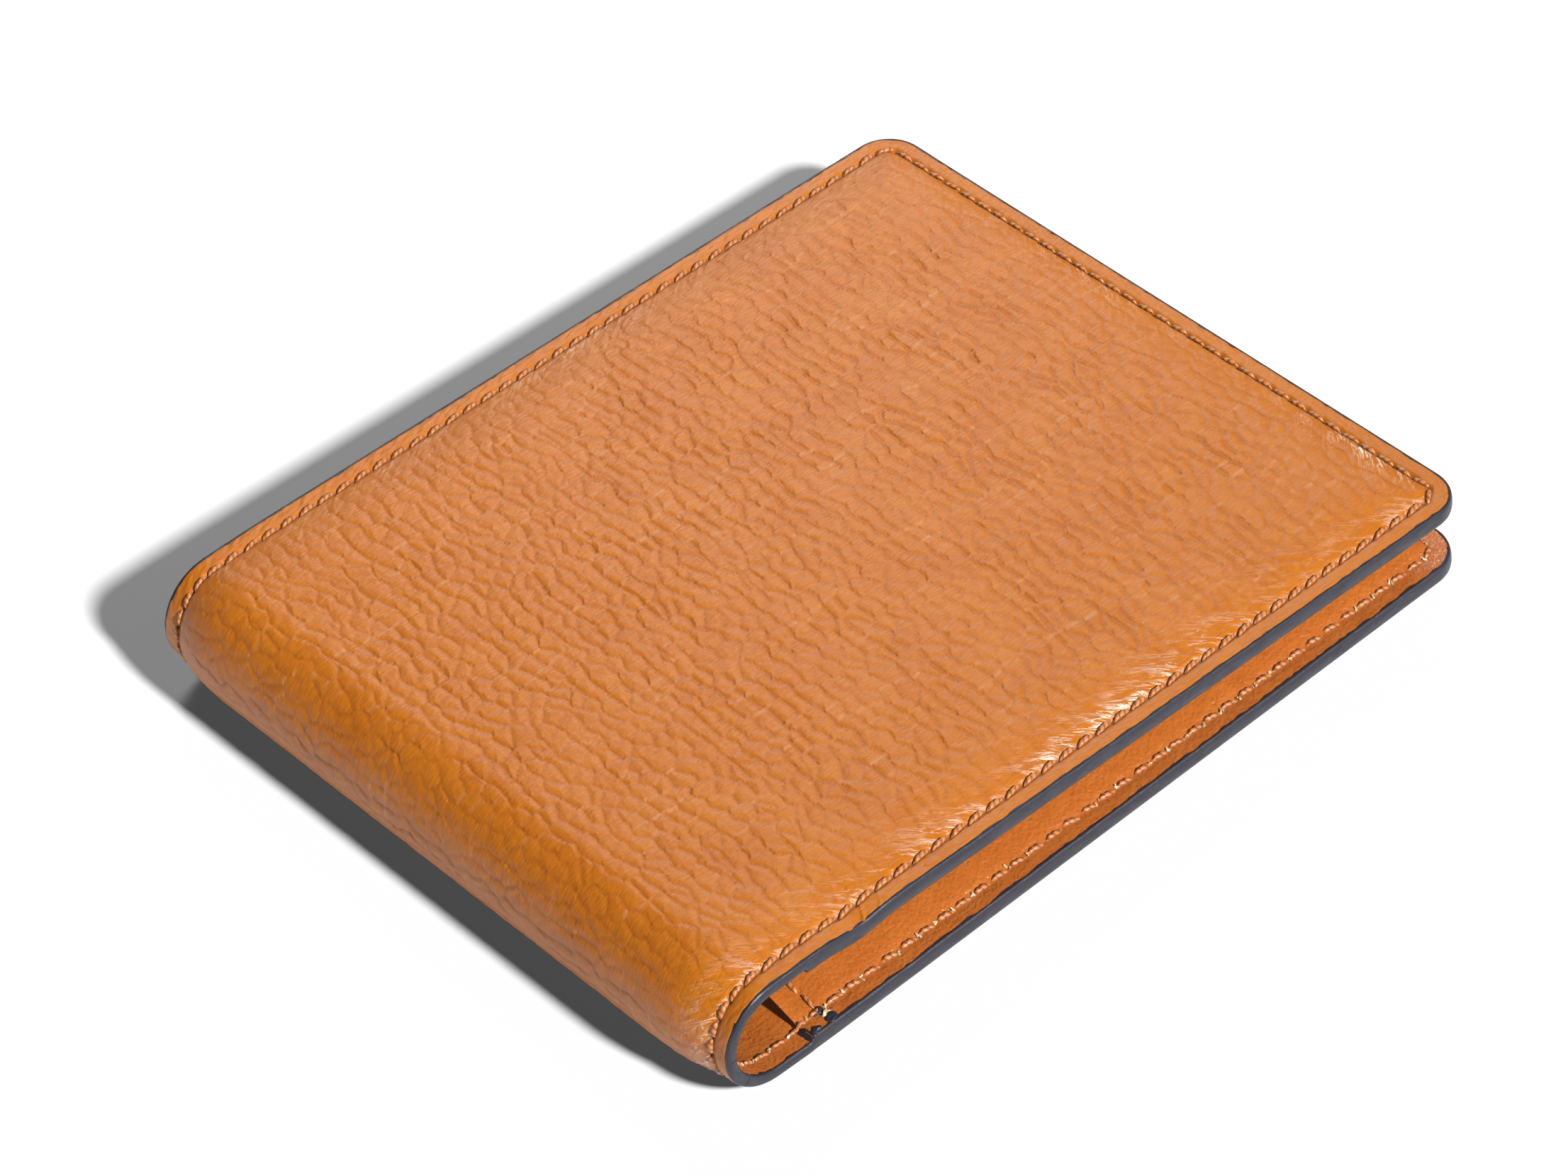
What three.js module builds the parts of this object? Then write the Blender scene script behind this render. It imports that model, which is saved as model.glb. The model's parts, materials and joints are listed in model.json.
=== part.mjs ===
// Bifold wallet, folded shut and lying on its rear leaf. Millimetres, +Z up.
// +X runs from the spine to the open side, +Y from the sewn bottom edge to the bill mouth.
// The origin is under the middle of the folded wallet, on the surface it lies on.
import * as THREE from 'three';

// ---------------------------------------------------------------- driving dimensions
const WIDTH = 114; // folded, spine to open side
const HEIGHT = 94.5; // sewn bottom edge to bill mouth
const FOLD_R = 8; // outside radius of the spine at its middle
const LEAF_TILT = THREE.MathUtils.degToRad(2); // the front leaf leans down to the open side
const HINGES = 4; // lines about which the spine bends
const PINCH = 0.8; // how far the sewn border sinks below the padded face
const CORNER_R = 4.5; // corners at the open side
const EDGE_PAINT = 0.3; // how far the paint bead stands out of the raw edges
const CLEARANCE = 0.05; // between the paint bead and the leather
const HINGE_GAP = 0.3; // between neighbours that turn against each other

// Distances in from a sewn edge at which a sheet has a line of corners.
const BORDER_LINES = [0, 1.3, 2.8, CORNER_R];
const FLAT_BORDER = 2.8; // pressed flat and sewn
const PADDED = 8; // from here inwards the leaf has its full thickness
const STITCH_INSET = 2.3; // seam to edge
const THREAD = 0.5; // thread diameter, pressed half into the leather
const SEAM_HEIGHT = THREAD / 2;

const PANEL_START = 5; // spine-side edge of the card pockets, from the end of the bend
const CARD_PANEL_TOP = PADDED; // the inner wall stops this far below the bill mouth
const LIP_STEP = 12; // from one card pocket's lip to the next
const LOWER_LIP = 2; // lip of the lowest card pocket, from the middle of the leaf
const TONGUE_DEPTH = 46; // how deep the tongue of a card pocket reaches below its lip
const BAR_DEPTH = 14; // height of the bar that carries a card pocket's lip
const TONGUE_INSET = 2; // how much narrower the tongue is than its bar, on each side
const POCKET_MARGIN = 1; // from the panel's spine-side edge to a card pocket's bar
const SIDE_SEAM_INSET = 3; // seam along the panel's spine-side edge

// Where each layer lies below the leaf's outer face: [outer side, inner side], first at the
// sewn border, where the layers are pressed together, then where the leaf is padded.
const LAYERS = {
  cover: { border: [0, 0.85], padded: [0, 0.85] },
  stiffener: { border: [0.95, 1.45], padded: [0.95, 1.45] },
  lining: { border: [0.89, 1.09], padded: [1.55, 1.75] },
  backing: { border: [1.13, 1.43], padded: [2.05, 2.35] },
  base: { border: [1.47, 1.67], padded: [2.65, 2.85] },
  upperPocket: { border: [2.95, 3.3], padded: [2.95, 3.3] },
  middlePocket: { border: [3.4, 3.75], padded: [3.4, 3.75] },
  lowerPocket: { border: [1.71, 2.11], padded: [3.85, 4.25] },
  spineCover: { border: [0, 1.05], padded: [0, 1.05] },
  spineLining: { border: [1.1, 1.35], padded: [1.1, 1.35] },
  spineBacking: { border: [1.4, 1.9], padded: [1.4, 1.9] },
};

// ---------------------------------------------------------------- worked out from them
const FOLD_X = -WIDTH / 2 + FOLD_R;
const BEND_ANGLE = Math.PI + LEAF_TILT;
const BEND = FOLD_R * BEND_ANGLE; // length of the bend, on its outside
const HINGE_STEP = BEND / HINGES;
const LEAF_REACH = WIDTH - FOLD_R - (FOLD_R - PINCH) * Math.sin(LEAF_TILT);
const LEAF = LEAF_REACH / Math.cos(LEAF_TILT) - EDGE_PAINT; // end of the bend to open side
const HALF = HEIGHT / 2;
const SIDE = HALF - EDGE_PAINT; // where the leather stops, from the middle

// ---------------------------------------------------------------- materials
const leather = (color, roughness) =>
  new THREE.MeshStandardMaterial({ color, roughness, metalness: 0 });
const MATERIALS = {
  grainLeather: leather(0xd38854, 0.55),
  smoothLeather: leather(0xdd732d, 0.45),
  stiffenerBoard: leather(0x8a6a4c, 0.9),
  liningCloth: leather(0xb9683a, 0.8),
  edgePaint: leather(0x4b4855, 0.4),
  thread: leather(0x9a4f26, 0.5),
  bobbinThread: leather(0xc9a982, 0.7),
};

// ---------------------------------------------------------------- the folded surface
// A point of the wallet. along is the distance along the outer face: below 0 on the rear leaf,
// 0 to BEND round the spine, and more on the front leaf. height is measured outwards.
function onFold(along, across, height) {
  const bent = THREE.MathUtils.clamp(along, 0, BEND);
  const angle = bent / FOLD_R;
  const outwards = new THREE.Vector3(-Math.sin(angle), 0, -Math.cos(angle));
  const onwards = new THREE.Vector3(-Math.cos(angle), 0, Math.sin(angle));
  return new THREE.Vector3(FOLD_X, across, FOLD_R)
    .addScaledVector(outwards, FOLD_R + height)
    .addScaledVector(onwards, along - bent);
}

const onFrontLeaf = (along) => along > BEND / 2;
const fromOpenSide = (along) => LEAF + (onFrontLeaf(along) ? BEND - along : along);

// 0 on the sewn border, 1 where the leaf is padded.
function padding(along, across) {
  const rise = (distance) => THREE.MathUtils.smoothstep(distance, FLAT_BORDER, PADDED);
  return rise(fromOpenSide(along)) * rise(SIDE - Math.abs(across));
}

// The height of a layer's outer side (side 0) or inner side (side 1) at a place.
function layerHeight(layer, side, along, across) {
  const padded = padding(along, across);
  const depth = THREE.MathUtils.lerp(layer.border[side], layer.padded[side], padded);
  return -PINCH * (1 - padded) - depth;
}

// Turns the square corners at the open side into quarter discs.
function roundCorner(along, across) {
  const a = 1 - fromOpenSide(along) / CORNER_R;
  const b = 1 - (SIDE - Math.abs(across)) / CORNER_R;
  if (a <= 0 || b <= 0) return [along, across];
  const open = CORNER_R * (1 - a * Math.sqrt(1 - (b * b) / 2)) - fromOpenSide(along);
  const side = CORNER_R * (1 - b * Math.sqrt(1 - (a * a) / 2)) - (SIDE - Math.abs(across));
  return [along + (onFrontLeaf(along) ? -open : open), across - Math.sign(across) * side];
}

// ---------------------------------------------------------------- kinds of piece
// Both broad faces of a box split their cells along one diagonal, so that sheets laid on each
// other stay evenly apart where they are not flat.
function matchDiagonals(box) {
  const lower = box.groups[5];
  const index = box.index;
  for (let at = lower.start; at < lower.start + lower.count; at += 6) {
    const [a, b, d, c] = [0, 1, 2, 4].map((step) => index.getX(at + step));
    [a, b, c, a, c, d].forEach((corner, step) => index.setX(at + step, corner));
  }
}

// A closed sheet of one layer, with corners where the lines cross.
function sheet(alongLines, acrossLines, layer) {
  const cells = [alongLines.length - 1, acrossLines.length - 1];
  const box = new THREE.BoxGeometry(...cells, 1, ...cells, 1);
  matchDiagonals(box);
  const at = box.attributes.position;
  for (let i = 0; i < at.count; i += 1) {
    const along = alongLines[Math.round(at.getX(i) + cells[0] / 2)];
    const across = acrossLines[Math.round(at.getY(i) + cells[1] / 2)];
    const height = layerHeight(layer, at.getZ(i) > 0 ? 0 : 1, along, across);
    at.setXYZ(i, ...onFold(...roundCorner(along, across), height).toArray());
  }
  return box;
}

// A flat outline of one layer on the padded part of a leaf.
function cutout(outline, layer) {
  const [outer, inner] = layer.padded;
  const plate = new THREE.ExtrudeGeometry(new THREE.Shape(outline), {
    depth: inner - outer,
    bevelEnabled: false,
  });
  const at = plate.attributes.position;
  for (let i = 0; i < at.count; i += 1) {
    at.setXYZ(i, ...onFold(at.getX(i), at.getY(i), at.getZ(i) - inner).toArray());
  }
  return plate;
}

// A strip that follows a leaf's sewn edges. Each station holds a place and the direction that
// leads in from the edge; inset and height are pairs of the strip's two sides.
function edgeStrip(stations, inset, height) {
  const cells = stations.length - 1;
  const box = new THREE.BoxGeometry(cells, 1, 1, cells, 1, 1);
  const at = box.attributes.position;
  for (let i = 0; i < at.count; i += 1) {
    const { along, across, inwards } = stations[Math.round(at.getX(i) + cells / 2)];
    const step = at.getY(i) > 0 ? inset[1] : inset[0];
    const rise = at.getZ(i) > 0 ? height[1] : height[0];
    const place = [along + inwards[0] * step, across + inwards[1] * step];
    at.setXYZ(i, ...onFold(...place, rise).toArray());
  }
  return box;
}

// ---------------------------------------------------------------- lines and stations
// Lines on a leaf, given as distances from the end of the bend towards the open side.
function leafLines(isFront, distances) {
  return isFront
    ? distances.map((distance) => BEND + distance)
    : distances.map((distance) => -distance).reverse();
}

const fromEdges = [...BORDER_LINES, PADDED];
const openLines = fromEdges.map((inset) => LEAF - inset).reverse();
const hingeLines = [1, 0.5, 0].map((part) => part * (HINGE_GAP / 2 - HINGE_STEP / 2));
const bottomLines = fromEdges.map((inset) => inset - SIDE);
const mouthLines = bottomLines.map((across) => -across).reverse();
const fullHeight = [...bottomLines, ...mouthLines];
const panelHeight = [...bottomLines, SIDE - CARD_PANEL_TOP];

// Round the three sewn sides of a leaf, keeping the leaf on the left hand. starts are the
// stations, from the end of the bend, that a straight side has before its corner.
function sewnStations(isFront, starts) {
  const outwardsAt = (inset) => {
    const b = 1 - inset / CORNER_R;
    return [Math.sqrt(1 - (b * b) / 2), b / Math.SQRT2];
  };
  const eighth = BORDER_LINES.slice(1, -1).map(outwardsAt);
  const swapped = eighth.map(([x, y]) => [y, x]).reverse();
  const quarter = [...swapped, outwardsAt(0), ...eighth, [1, 0]];
  const half = (sign) => [
    ...[...starts, LEAF - CORNER_R].map((distance) => (
      { distance, across: sign * SIDE, outwards: [0, sign] })),
    ...quarter.map(([x, y]) => ({
      distance: LEAF - CORNER_R + CORNER_R * x,
      across: sign * (SIDE - CORNER_R + CORNER_R * y),
      outwards: [x, sign * y],
    })),
  ];
  const flip = isFront ? 1 : -1;
  return [...half(-1), ...half(1).reverse()].map(({ distance, across, outwards }) => ({
    along: isFront ? BEND + distance : -distance,
    across: flip * across,
    inwards: outwards.map((part) => -flip * part),
  }));
}

// The part of that round that sews the lower card pocket: its spine side to its lip.
function lowerPocketStations(isFront) {
  const sewn = sewnStations(isFront, [PANEL_START]).filter(({ across }) => across < 0);
  return isFront
    ? [...sewn, { ...sewn.at(-1), across: LOWER_LIP }]
    : [{ ...sewn[0], across: LOWER_LIP }, ...sewn];
}

// ---------------------------------------------------------------- assembly
const wallet = new THREE.Group();

function add(name, geometry, material) {
  const mesh = new THREE.Mesh(geometry, material);
  mesh.name = name;
  wallet.add(mesh);
}

// A card pocket is a T: a wide bar that carries the lip, and a tongue that takes the card.
function cardPocketOutline(isFront, lip) {
  const toStrip = (distance, across) =>
    new THREE.Vector2(isFront ? BEND + distance : -distance, across);
  const [near, far] = [PANEL_START + POCKET_MARGIN, LEAF - PADDED];
  return [
    toStrip(near, lip),
    toStrip(near, lip - BAR_DEPTH),
    toStrip(near + TONGUE_INSET, lip - BAR_DEPTH),
    toStrip(near + TONGUE_INSET, lip - TONGUE_DEPTH),
    toStrip(far - TONGUE_INSET, lip - TONGUE_DEPTH),
    toStrip(far - TONGUE_INSET, lip - BAR_DEPTH),
    toStrip(far, lip - BAR_DEPTH),
    toStrip(far, lip),
  ];
}

function addLeaf(leafName, isFront) {
  const coverLines = leafLines(isFront, [...hingeLines, ...openLines]);
  const panelLines = leafLines(isFront, [PANEL_START, ...openLines]);
  const boardLines = leafLines(isFront, [POCKET_MARGIN, LEAF - PADDED - POCKET_MARGIN]);
  const boardHeight = SIDE - PADDED - POCKET_MARGIN;
  const lowerHeight = [...bottomLines, LOWER_LIP];
  const stations = sewnStations(isFront, hingeLines);
  const { grainLeather, smoothLeather, liningCloth } = MATERIALS;

  add(`${leafName}_cover`, sheet(coverLines, fullHeight, LAYERS.cover), grainLeather);
  add(`${leafName}_stiffener`, sheet(boardLines, [-boardHeight, boardHeight], LAYERS.stiffener),
    MATERIALS.stiffenerBoard);
  add(`${leafName}_bill_lining`, sheet(coverLines, fullHeight, LAYERS.lining), liningCloth);
  add(`${leafName}_pocket_backing`, sheet(coverLines, panelHeight, LAYERS.backing), smoothLeather);
  add(`${leafName}_card_base`, sheet(panelLines, panelHeight, LAYERS.base), smoothLeather);
  const middleLip = LOWER_LIP + LIP_STEP;
  add(`${leafName}_upper_card_pocket`,
    cutout(cardPocketOutline(isFront, middleLip + LIP_STEP), LAYERS.upperPocket), smoothLeather);
  add(`${leafName}_middle_card_pocket`,
    cutout(cardPocketOutline(isFront, middleLip), LAYERS.middlePocket), smoothLeather);
  add(`${leafName}_lower_card_pocket`, sheet(panelLines, lowerHeight, LAYERS.lowerPocket),
    smoothLeather);

  const innerFace = -PINCH - LAYERS.lowerPocket.border[1];
  add(`${leafName}_edge_paint`,
    edgeStrip(stations, [-EDGE_PAINT, -CLEARANCE], [innerFace, -PINCH]), MATERIALS.edgePaint);
  const seam = [STITCH_INSET - THREAD / 2, STITCH_INSET + THREAD / 2];
  add(`${leafName}_needle_thread`,
    edgeStrip(stations, seam, [CLEARANCE - PINCH, CLEARANCE - PINCH + SEAM_HEIGHT]),
    MATERIALS.thread);
  const underPocket = [innerFace - CLEARANCE - SEAM_HEIGHT, innerFace - CLEARANCE];
  add(`${leafName}_bobbin_thread`, edgeStrip(lowerPocketStations(isFront), seam, underPocket),
    MATERIALS.bobbinThread);
  const seamAt = PANEL_START + SIDE_SEAM_INSET;
  const seamTop = LAYERS.lowerPocket.padded[1] + CLEARANCE;
  const seamLayer = [seamTop, seamTop + SEAM_HEIGHT];
  add(`${leafName}_pocket_thread`,
    sheet(leafLines(isFront, [seamAt - THREAD / 2, seamAt + THREAD / 2]),
      [PADDED - SIDE, LOWER_LIP - THREAD], { border: seamLayer, padded: seamLayer }),
    MATERIALS.thread);
}

function addSpine() {
  for (let part = 1; part < HINGES; part += 1) {
    const [from, to] = [(part - 0.5) * HINGE_STEP, (part + 0.5) * HINGE_STEP];
    const [start, end] = [from + HINGE_GAP / 2, to - HINGE_GAP / 2];
    const lines = [0, 1, 2, 3].map((step) => THREE.MathUtils.lerp(start, end, step / 3));
    const bottomBead = [-HALF, -SIDE - CLEARANCE];
    const mouthBead = [SIDE + CLEARANCE, HALF];
    const wholeWall = [0, LAYERS.spineBacking.border[1]];
    const outerWall = [0, LAYERS.spineLining.border[1]];
    add(`spine_cover_${part}`, sheet(lines, fullHeight, LAYERS.spineCover),
      MATERIALS.grainLeather);
    add(`spine_lining_${part}`, sheet(lines, fullHeight, LAYERS.spineLining),
      MATERIALS.liningCloth);
    add(`spine_backing_${part}`, sheet(lines, panelHeight, LAYERS.spineBacking),
      MATERIALS.smoothLeather);
    add(`spine_bottom_edge_paint_${part}`,
      sheet(lines, bottomBead, { border: wholeWall, padded: wholeWall }), MATERIALS.edgePaint);
    add(`spine_mouth_edge_paint_${part}`,
      sheet(lines, mouthBead, { border: outerWall, padded: outerWall }), MATERIALS.edgePaint);
  }
}

addLeaf('rear', false);
addSpine();
addLeaf('front', true);

export default wallet;
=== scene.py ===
# %% [markdown]
# # A bifold wallet, folded shut
# The wallet is cut leather: one pebbled outer cover runs round both leaves and the spine, cloth
# and smooth leather line it, card pockets sit inside each leaf, and two threads and a bead of
# paint hold and close the edges. Everything is flat leather that was laid round a fold, so the
# script works the same way: each piece is made flat and then laid on the fold.

# %% Load the wallet's frame
import json
import math

import bmesh
import bpy
import numpy as np
from mathutils import Matrix, Vector


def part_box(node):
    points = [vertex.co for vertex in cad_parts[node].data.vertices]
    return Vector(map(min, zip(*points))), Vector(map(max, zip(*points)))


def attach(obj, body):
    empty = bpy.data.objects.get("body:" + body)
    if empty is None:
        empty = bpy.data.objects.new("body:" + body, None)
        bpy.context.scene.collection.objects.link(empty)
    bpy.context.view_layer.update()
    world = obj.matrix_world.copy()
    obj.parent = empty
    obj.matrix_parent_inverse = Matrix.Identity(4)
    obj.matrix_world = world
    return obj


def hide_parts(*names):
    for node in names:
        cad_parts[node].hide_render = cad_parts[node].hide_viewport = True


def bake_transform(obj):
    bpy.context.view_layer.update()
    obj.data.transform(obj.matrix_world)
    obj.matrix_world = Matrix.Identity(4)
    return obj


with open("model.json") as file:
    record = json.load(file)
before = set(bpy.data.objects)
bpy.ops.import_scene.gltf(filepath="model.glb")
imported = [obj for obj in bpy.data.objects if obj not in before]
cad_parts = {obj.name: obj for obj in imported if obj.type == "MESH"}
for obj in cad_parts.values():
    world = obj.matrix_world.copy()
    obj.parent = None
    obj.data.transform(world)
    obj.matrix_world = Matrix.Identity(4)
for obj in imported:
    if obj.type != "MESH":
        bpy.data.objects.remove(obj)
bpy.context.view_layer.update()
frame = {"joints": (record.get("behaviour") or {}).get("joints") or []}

# %% [markdown]
# ## The camera
# The product is seen from above its spine corner, with a long lens, so the far edges stay
# nearly parallel. The camera is placed by its azimuth, its elevation and a small roll about the
# line of sight.

# %% Camera
CAMERA_AIM = Vector((0.0013, 0.0068, 0.0008))
CAMERA_AZIMUTH = math.radians(-38.28)
CAMERA_ELEVATION = math.radians(43.98)
CAMERA_ROLL = math.radians(-6.33)
CAMERA_DISTANCE = 0.6961
CAMERA_LENS, SENSOR_WIDTH = 140.72, 36  # mm


def put(name, data):
    """Adds an object to the scene."""
    made = bpy.data.objects.new(name, data)
    bpy.context.scene.collection.objects.link(made)
    return made


backwards = Vector((
    math.sin(CAMERA_AZIMUTH) * math.cos(CAMERA_ELEVATION),
    -math.cos(CAMERA_AZIMUTH) * math.cos(CAMERA_ELEVATION),
    math.sin(CAMERA_ELEVATION),
))
level_right = Vector((math.cos(CAMERA_AZIMUTH), math.sin(CAMERA_AZIMUTH), 0))
level_up = backwards.cross(level_right)
turned_right = level_right * math.cos(CAMERA_ROLL) + level_up * math.sin(CAMERA_ROLL)
turned_up = level_up * math.cos(CAMERA_ROLL) - level_right * math.sin(CAMERA_ROLL)
camera = put("camera", bpy.data.cameras.new("camera"))
camera.data.lens = CAMERA_LENS
camera.data.sensor_width = SENSOR_WIDTH
camera.data.clip_start = 0.01
camera_place = CAMERA_AIM + backwards * CAMERA_DISTANCE
camera.matrix_world = Matrix.Translation(camera_place) @ Matrix(
    (turned_right, turned_up, backwards)).transposed().to_4x4()
bpy.context.scene.camera = camera
print("camera at", [round(part, 4) for part in camera_place])

# %% [markdown]
# ## Floor and light
# A white sweep lit so brightly that it reads as plain white, and one hard lamp low over the sewn
# bottom edge, which throws the shadow past the bill mouth. A small soft box stands close behind
# the far corner: it fills the shadow and lays a pale sheen over the top, strongest at the far
# side, because that is where the leather mirrors it. A weak white surround does the rest.

# %% Floor, lamp and surround
FLOOR_SIZE = 6.0
LAMP_FROM = Vector((1.2, -12.9, 10.0))  # only its direction counts
LAMP_STRENGTH = 4.95
LAMP_ANGLE = math.radians(6.5)  # how wide the lamp looks, which sets the soft edge of shadows
SURROUND = 0.065  # brightness of the white surround
SOFT_BOX_AT = Vector((0.31, 0.355, 0.343))
SOFT_BOX_SIZE = 0.2
SOFT_BOX_POWER = 1.05

floor_mesh = bmesh.new()
bmesh.ops.create_grid(floor_mesh, x_segments=1, y_segments=1, size=FLOOR_SIZE / 2)
floor = put("floor", bpy.data.meshes.new("floor"))
floor_mesh.to_mesh(floor.data)
floor_mesh.free()

lamp = put("lamp", bpy.data.lights.new("lamp", "SUN"))
lamp.data.energy = LAMP_STRENGTH
lamp.data.angle = LAMP_ANGLE
lamp.rotation_euler = LAMP_FROM.to_track_quat("Z", "Y").to_euler()

soft_box = put("soft_box", bpy.data.lights.new("soft_box", "AREA"))
soft_box.data.energy = SOFT_BOX_POWER
soft_box.data.size = SOFT_BOX_SIZE
soft_box.location = SOFT_BOX_AT
soft_box.rotation_euler = SOFT_BOX_AT.to_track_quat("Z", "Y").to_euler()

world = bpy.data.worlds.new("surround")
world.use_nodes = True
background = world.node_tree.nodes["Background"].inputs
background["Color"].default_value = (1, 1, 1, 1)
background["Strength"].default_value = SURROUND
bpy.context.scene.world = world
bpy.context.scene.view_settings.view_transform = "Standard"
print("lamp elevation:", round(math.degrees(math.asin(LAMP_FROM.normalized().z)), 1))

# %% [markdown]
# ## The fold
# A place on the wallet is given in millimetres as it would be on the flat, unrolled cover:
# `along` runs from the rear leaf (below 0) round the spine (0 to BEND) to the front leaf, and
# `across` runs from the sewn bottom edge to the bill mouth. `lay_on_fold` turns such places into
# points, with `height` measured outwards from the padded outer face.

# %% Sizes of the fold
MM = 0.001
FOLD_R = 8.0  # outside radius of the spine
TILT = math.radians(2)  # the front leaf leans down to the open side
BEND = FOLD_R * (math.pi + TILT)  # length of the bend on its outside
HINGE_STEP = BEND / len(frame["joints"])
leather_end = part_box("rear_cover")[1] / MM
SIDE = leather_end.y  # where the leather stops, from the middle
HALF_LENGTH = 57.0  # of the folded wallet, from its middle to the spine's outside
FOLD_X = FOLD_R - HALF_LENGTH  # middle of the bend, from the middle of the wallet
LEAF = leather_end.x - FOLD_X  # from the end of the bend to the open side
CORNER_R = 4.5  # rounding of the open corners
STITCH_INSET = 2.3  # from the raw edge in to the seam
PITCH = 2.7  # from one stitch hole to the next
print(f"leaf {LEAF:.1f} mm, bend {BEND:.1f} mm, half height {SIDE:.2f} mm")


def lay_on_fold(along, across, height):
    """Points in metres, and the outward direction at each, for places on the flat cover."""
    bent = np.clip(along, 0, BEND)
    angle = bent / FOLD_R
    outwards = np.stack([-np.sin(angle), 0 * angle, -np.cos(angle)], axis=-1)
    onwards = np.stack([-np.cos(angle), 0 * angle, np.sin(angle)], axis=-1)
    points = outwards * (FOLD_R + height)[..., None] + onwards * (along - bent)[..., None]
    points = points + np.array([FOLD_X, 0, FOLD_R])
    points[..., 1] = across
    return points * MM, outwards


def smooth_step(value):
    value = np.clip(value, 0, 1)
    return value * value * (3 - 2 * value)


def open_side_gap(along):
    """Distance to the open side of the leaf that the place is on."""
    return LEAF + np.where(along > BEND / 2, BEND - along, along)


def round_corners(along, across):
    """Turns the square corners at the open sides into quarter discs."""
    open_gap, side_gap = open_side_gap(along), SIDE - np.abs(across)
    a = np.clip(1 - open_gap / CORNER_R, 0, 1)
    b = np.clip(1 - side_gap / CORNER_R, 0, 1)
    both = (a > 0) & (b > 0)
    open_move = np.where(both, CORNER_R * (1 - a * np.sqrt(1 - b * b / 2)) - open_gap, 0)
    side_move = np.where(both, CORNER_R * (1 - b * np.sqrt(1 - a * a / 2)) - side_gap, 0)
    away = np.where(along > BEND / 2, -1, 1)
    return along + away * open_move, across - np.sign(across) * side_move


def edge_gap(along, across):
    """Distance in from the nearest sewn edge, round the corners too."""
    open_gap, side_gap = open_side_gap(along), SIDE - np.abs(across)
    in_corner = (open_gap < CORNER_R) & (side_gap < CORNER_R)
    corner = CORNER_R - np.hypot(CORNER_R - open_gap, CORNER_R - side_gap)
    return np.where(in_corner, corner, np.minimum(open_gap, side_gap))


# %% [markdown]
# ## How thick the wallet is, place by place
# At the sewn border all layers are pressed together. Inside it the stiffener board and the
# pockets push them apart, so the leaf swells within about a centimetre of the seam. Each layer
# is given by its depth at the border and its depth where the leaf is padded; the card panel's
# layers also have a depth at the seam along the panel's spine side, which presses them together
# and lets their free edge stand up.

# %% Padding and layers
PINCH = 0.8  # how far the sewn border sinks below the padded face
SPINE_PINCH = 0.5  # and how much more at the two ends of the spine
SPINE_PINCH_REACH = 0.9 * BEND  # how far along that goes, from the middle of the bend
SWELL, SWELL_CURVE = 9.0, 2.6  # from the seam to full thickness, and how soon it rises
CROWN = 0.6  # extra swell in the middle of the front leaf
KINK_AT, KINK_DEPTH = 12.5, 0.55  # where the front leaf buckles, past the bend, and how deep
KINK_WIDTH, KINK_REACH = 3.2, 4.0  # half its width along the edge, and how far in it goes
PAD_START = 6.0  # from the bend to the start of the full padding
PANEL_TOP = 8.0  # the inner wall stops this far below the bill mouth
PANEL_START = 5.0  # spine-side edge of the card pockets, from the end of the bend
PANEL_SEAM = 8.0  # and the seam along that edge
LOWER_LIP = 2.0  # lip of the lowest card pocket
LIP_STEP = 12.0  # from one lip to the next
SEAM_PRESS = 2.2  # half width of the strip that the panel's seam presses together
FREE_EDGE, FREE_LIFT = 3.0, 0.8  # the panel's free edge: how wide it is and how far it stands up
FREE_CLEAR = (3.0, 6.0)  # it starts this far from the sewn edge, and takes this long to rise
BAR_STEP = 0.52  # the lower pocket's rise over the end of the pockets under it, at the border
BAR_END = 1.5  # how far below the middle line that rise starts, and how long it is
STEP_BLUR = 0.4  # a step between layers is drawn this wide

LAYERS = {  # depth of the outer and inner sides: at the border, padded, at the panel's seam
    "cover": ((0, 0, 0), (0.85, 0.85, 0.85)),
    "stiffener": ((0.95, 0.95, 0.95), (1.45, 1.45, 1.45)),
    "lining": ((0.89, 1.55, 1.55), (1.09, 1.75, 1.75)),
    "backing": ((1.13, 2.05, 2.05), (1.43, 2.35, 2.35)),
    "base": ((1.47, 2.65, 2.4), (1.67, 2.85, 2.6)),
    "upper_pocket": ((1.69, 2.95, 2.64), (1.94, 3.3, 2.94)),
    "middle_pocket": ((1.96, 3.4, 2.98), (2.21, 3.75, 3.28)),
    "lower_pocket": ((1.71, 3.85, 3.32), (2.11, 4.25, 3.72)),
}
LIFTED = ("base", "upper_pocket", "middle_pocket", "lower_pocket")


def past_bend(along):
    """How far a place is from the bend, on whichever leaf it is; below 0 on the spine."""
    return np.where(along > BEND / 2, along - BEND, -along)


def padded_share(along, across):
    """0 at the seam and outside it, 1 where the leaf has its full thickness."""
    inside = np.clip((edge_gap(along, across) - STITCH_INSET) / SWELL, 0, 1)
    return 1 - (1 - inside) ** SWELL_CURVE


def outer_height(along, across):
    """Height of the outer face, without its grain."""
    share = padded_share(along, across)
    at_spine = smooth_step(1 - np.abs(along - BEND / 2) / SPINE_PINCH_REACH)
    on_front = np.clip((along - BEND) / LEAF, 0, 1)
    crown = np.sin(math.pi * on_front) * np.cos(np.clip(across / SIDE, -1, 1) * math.pi / 2)
    buckle = np.exp(-(((along - BEND - KINK_AT) / KINK_WIDTH) ** 2))
    buckle = KINK_DEPTH * buckle * np.exp(-np.clip(SIDE + across, 0, None) / KINK_REACH)
    sunk = (PINCH + SPINE_PINCH * at_spine) * (1 - share)
    return CROWN * crown * share - sunk - buckle


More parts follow.
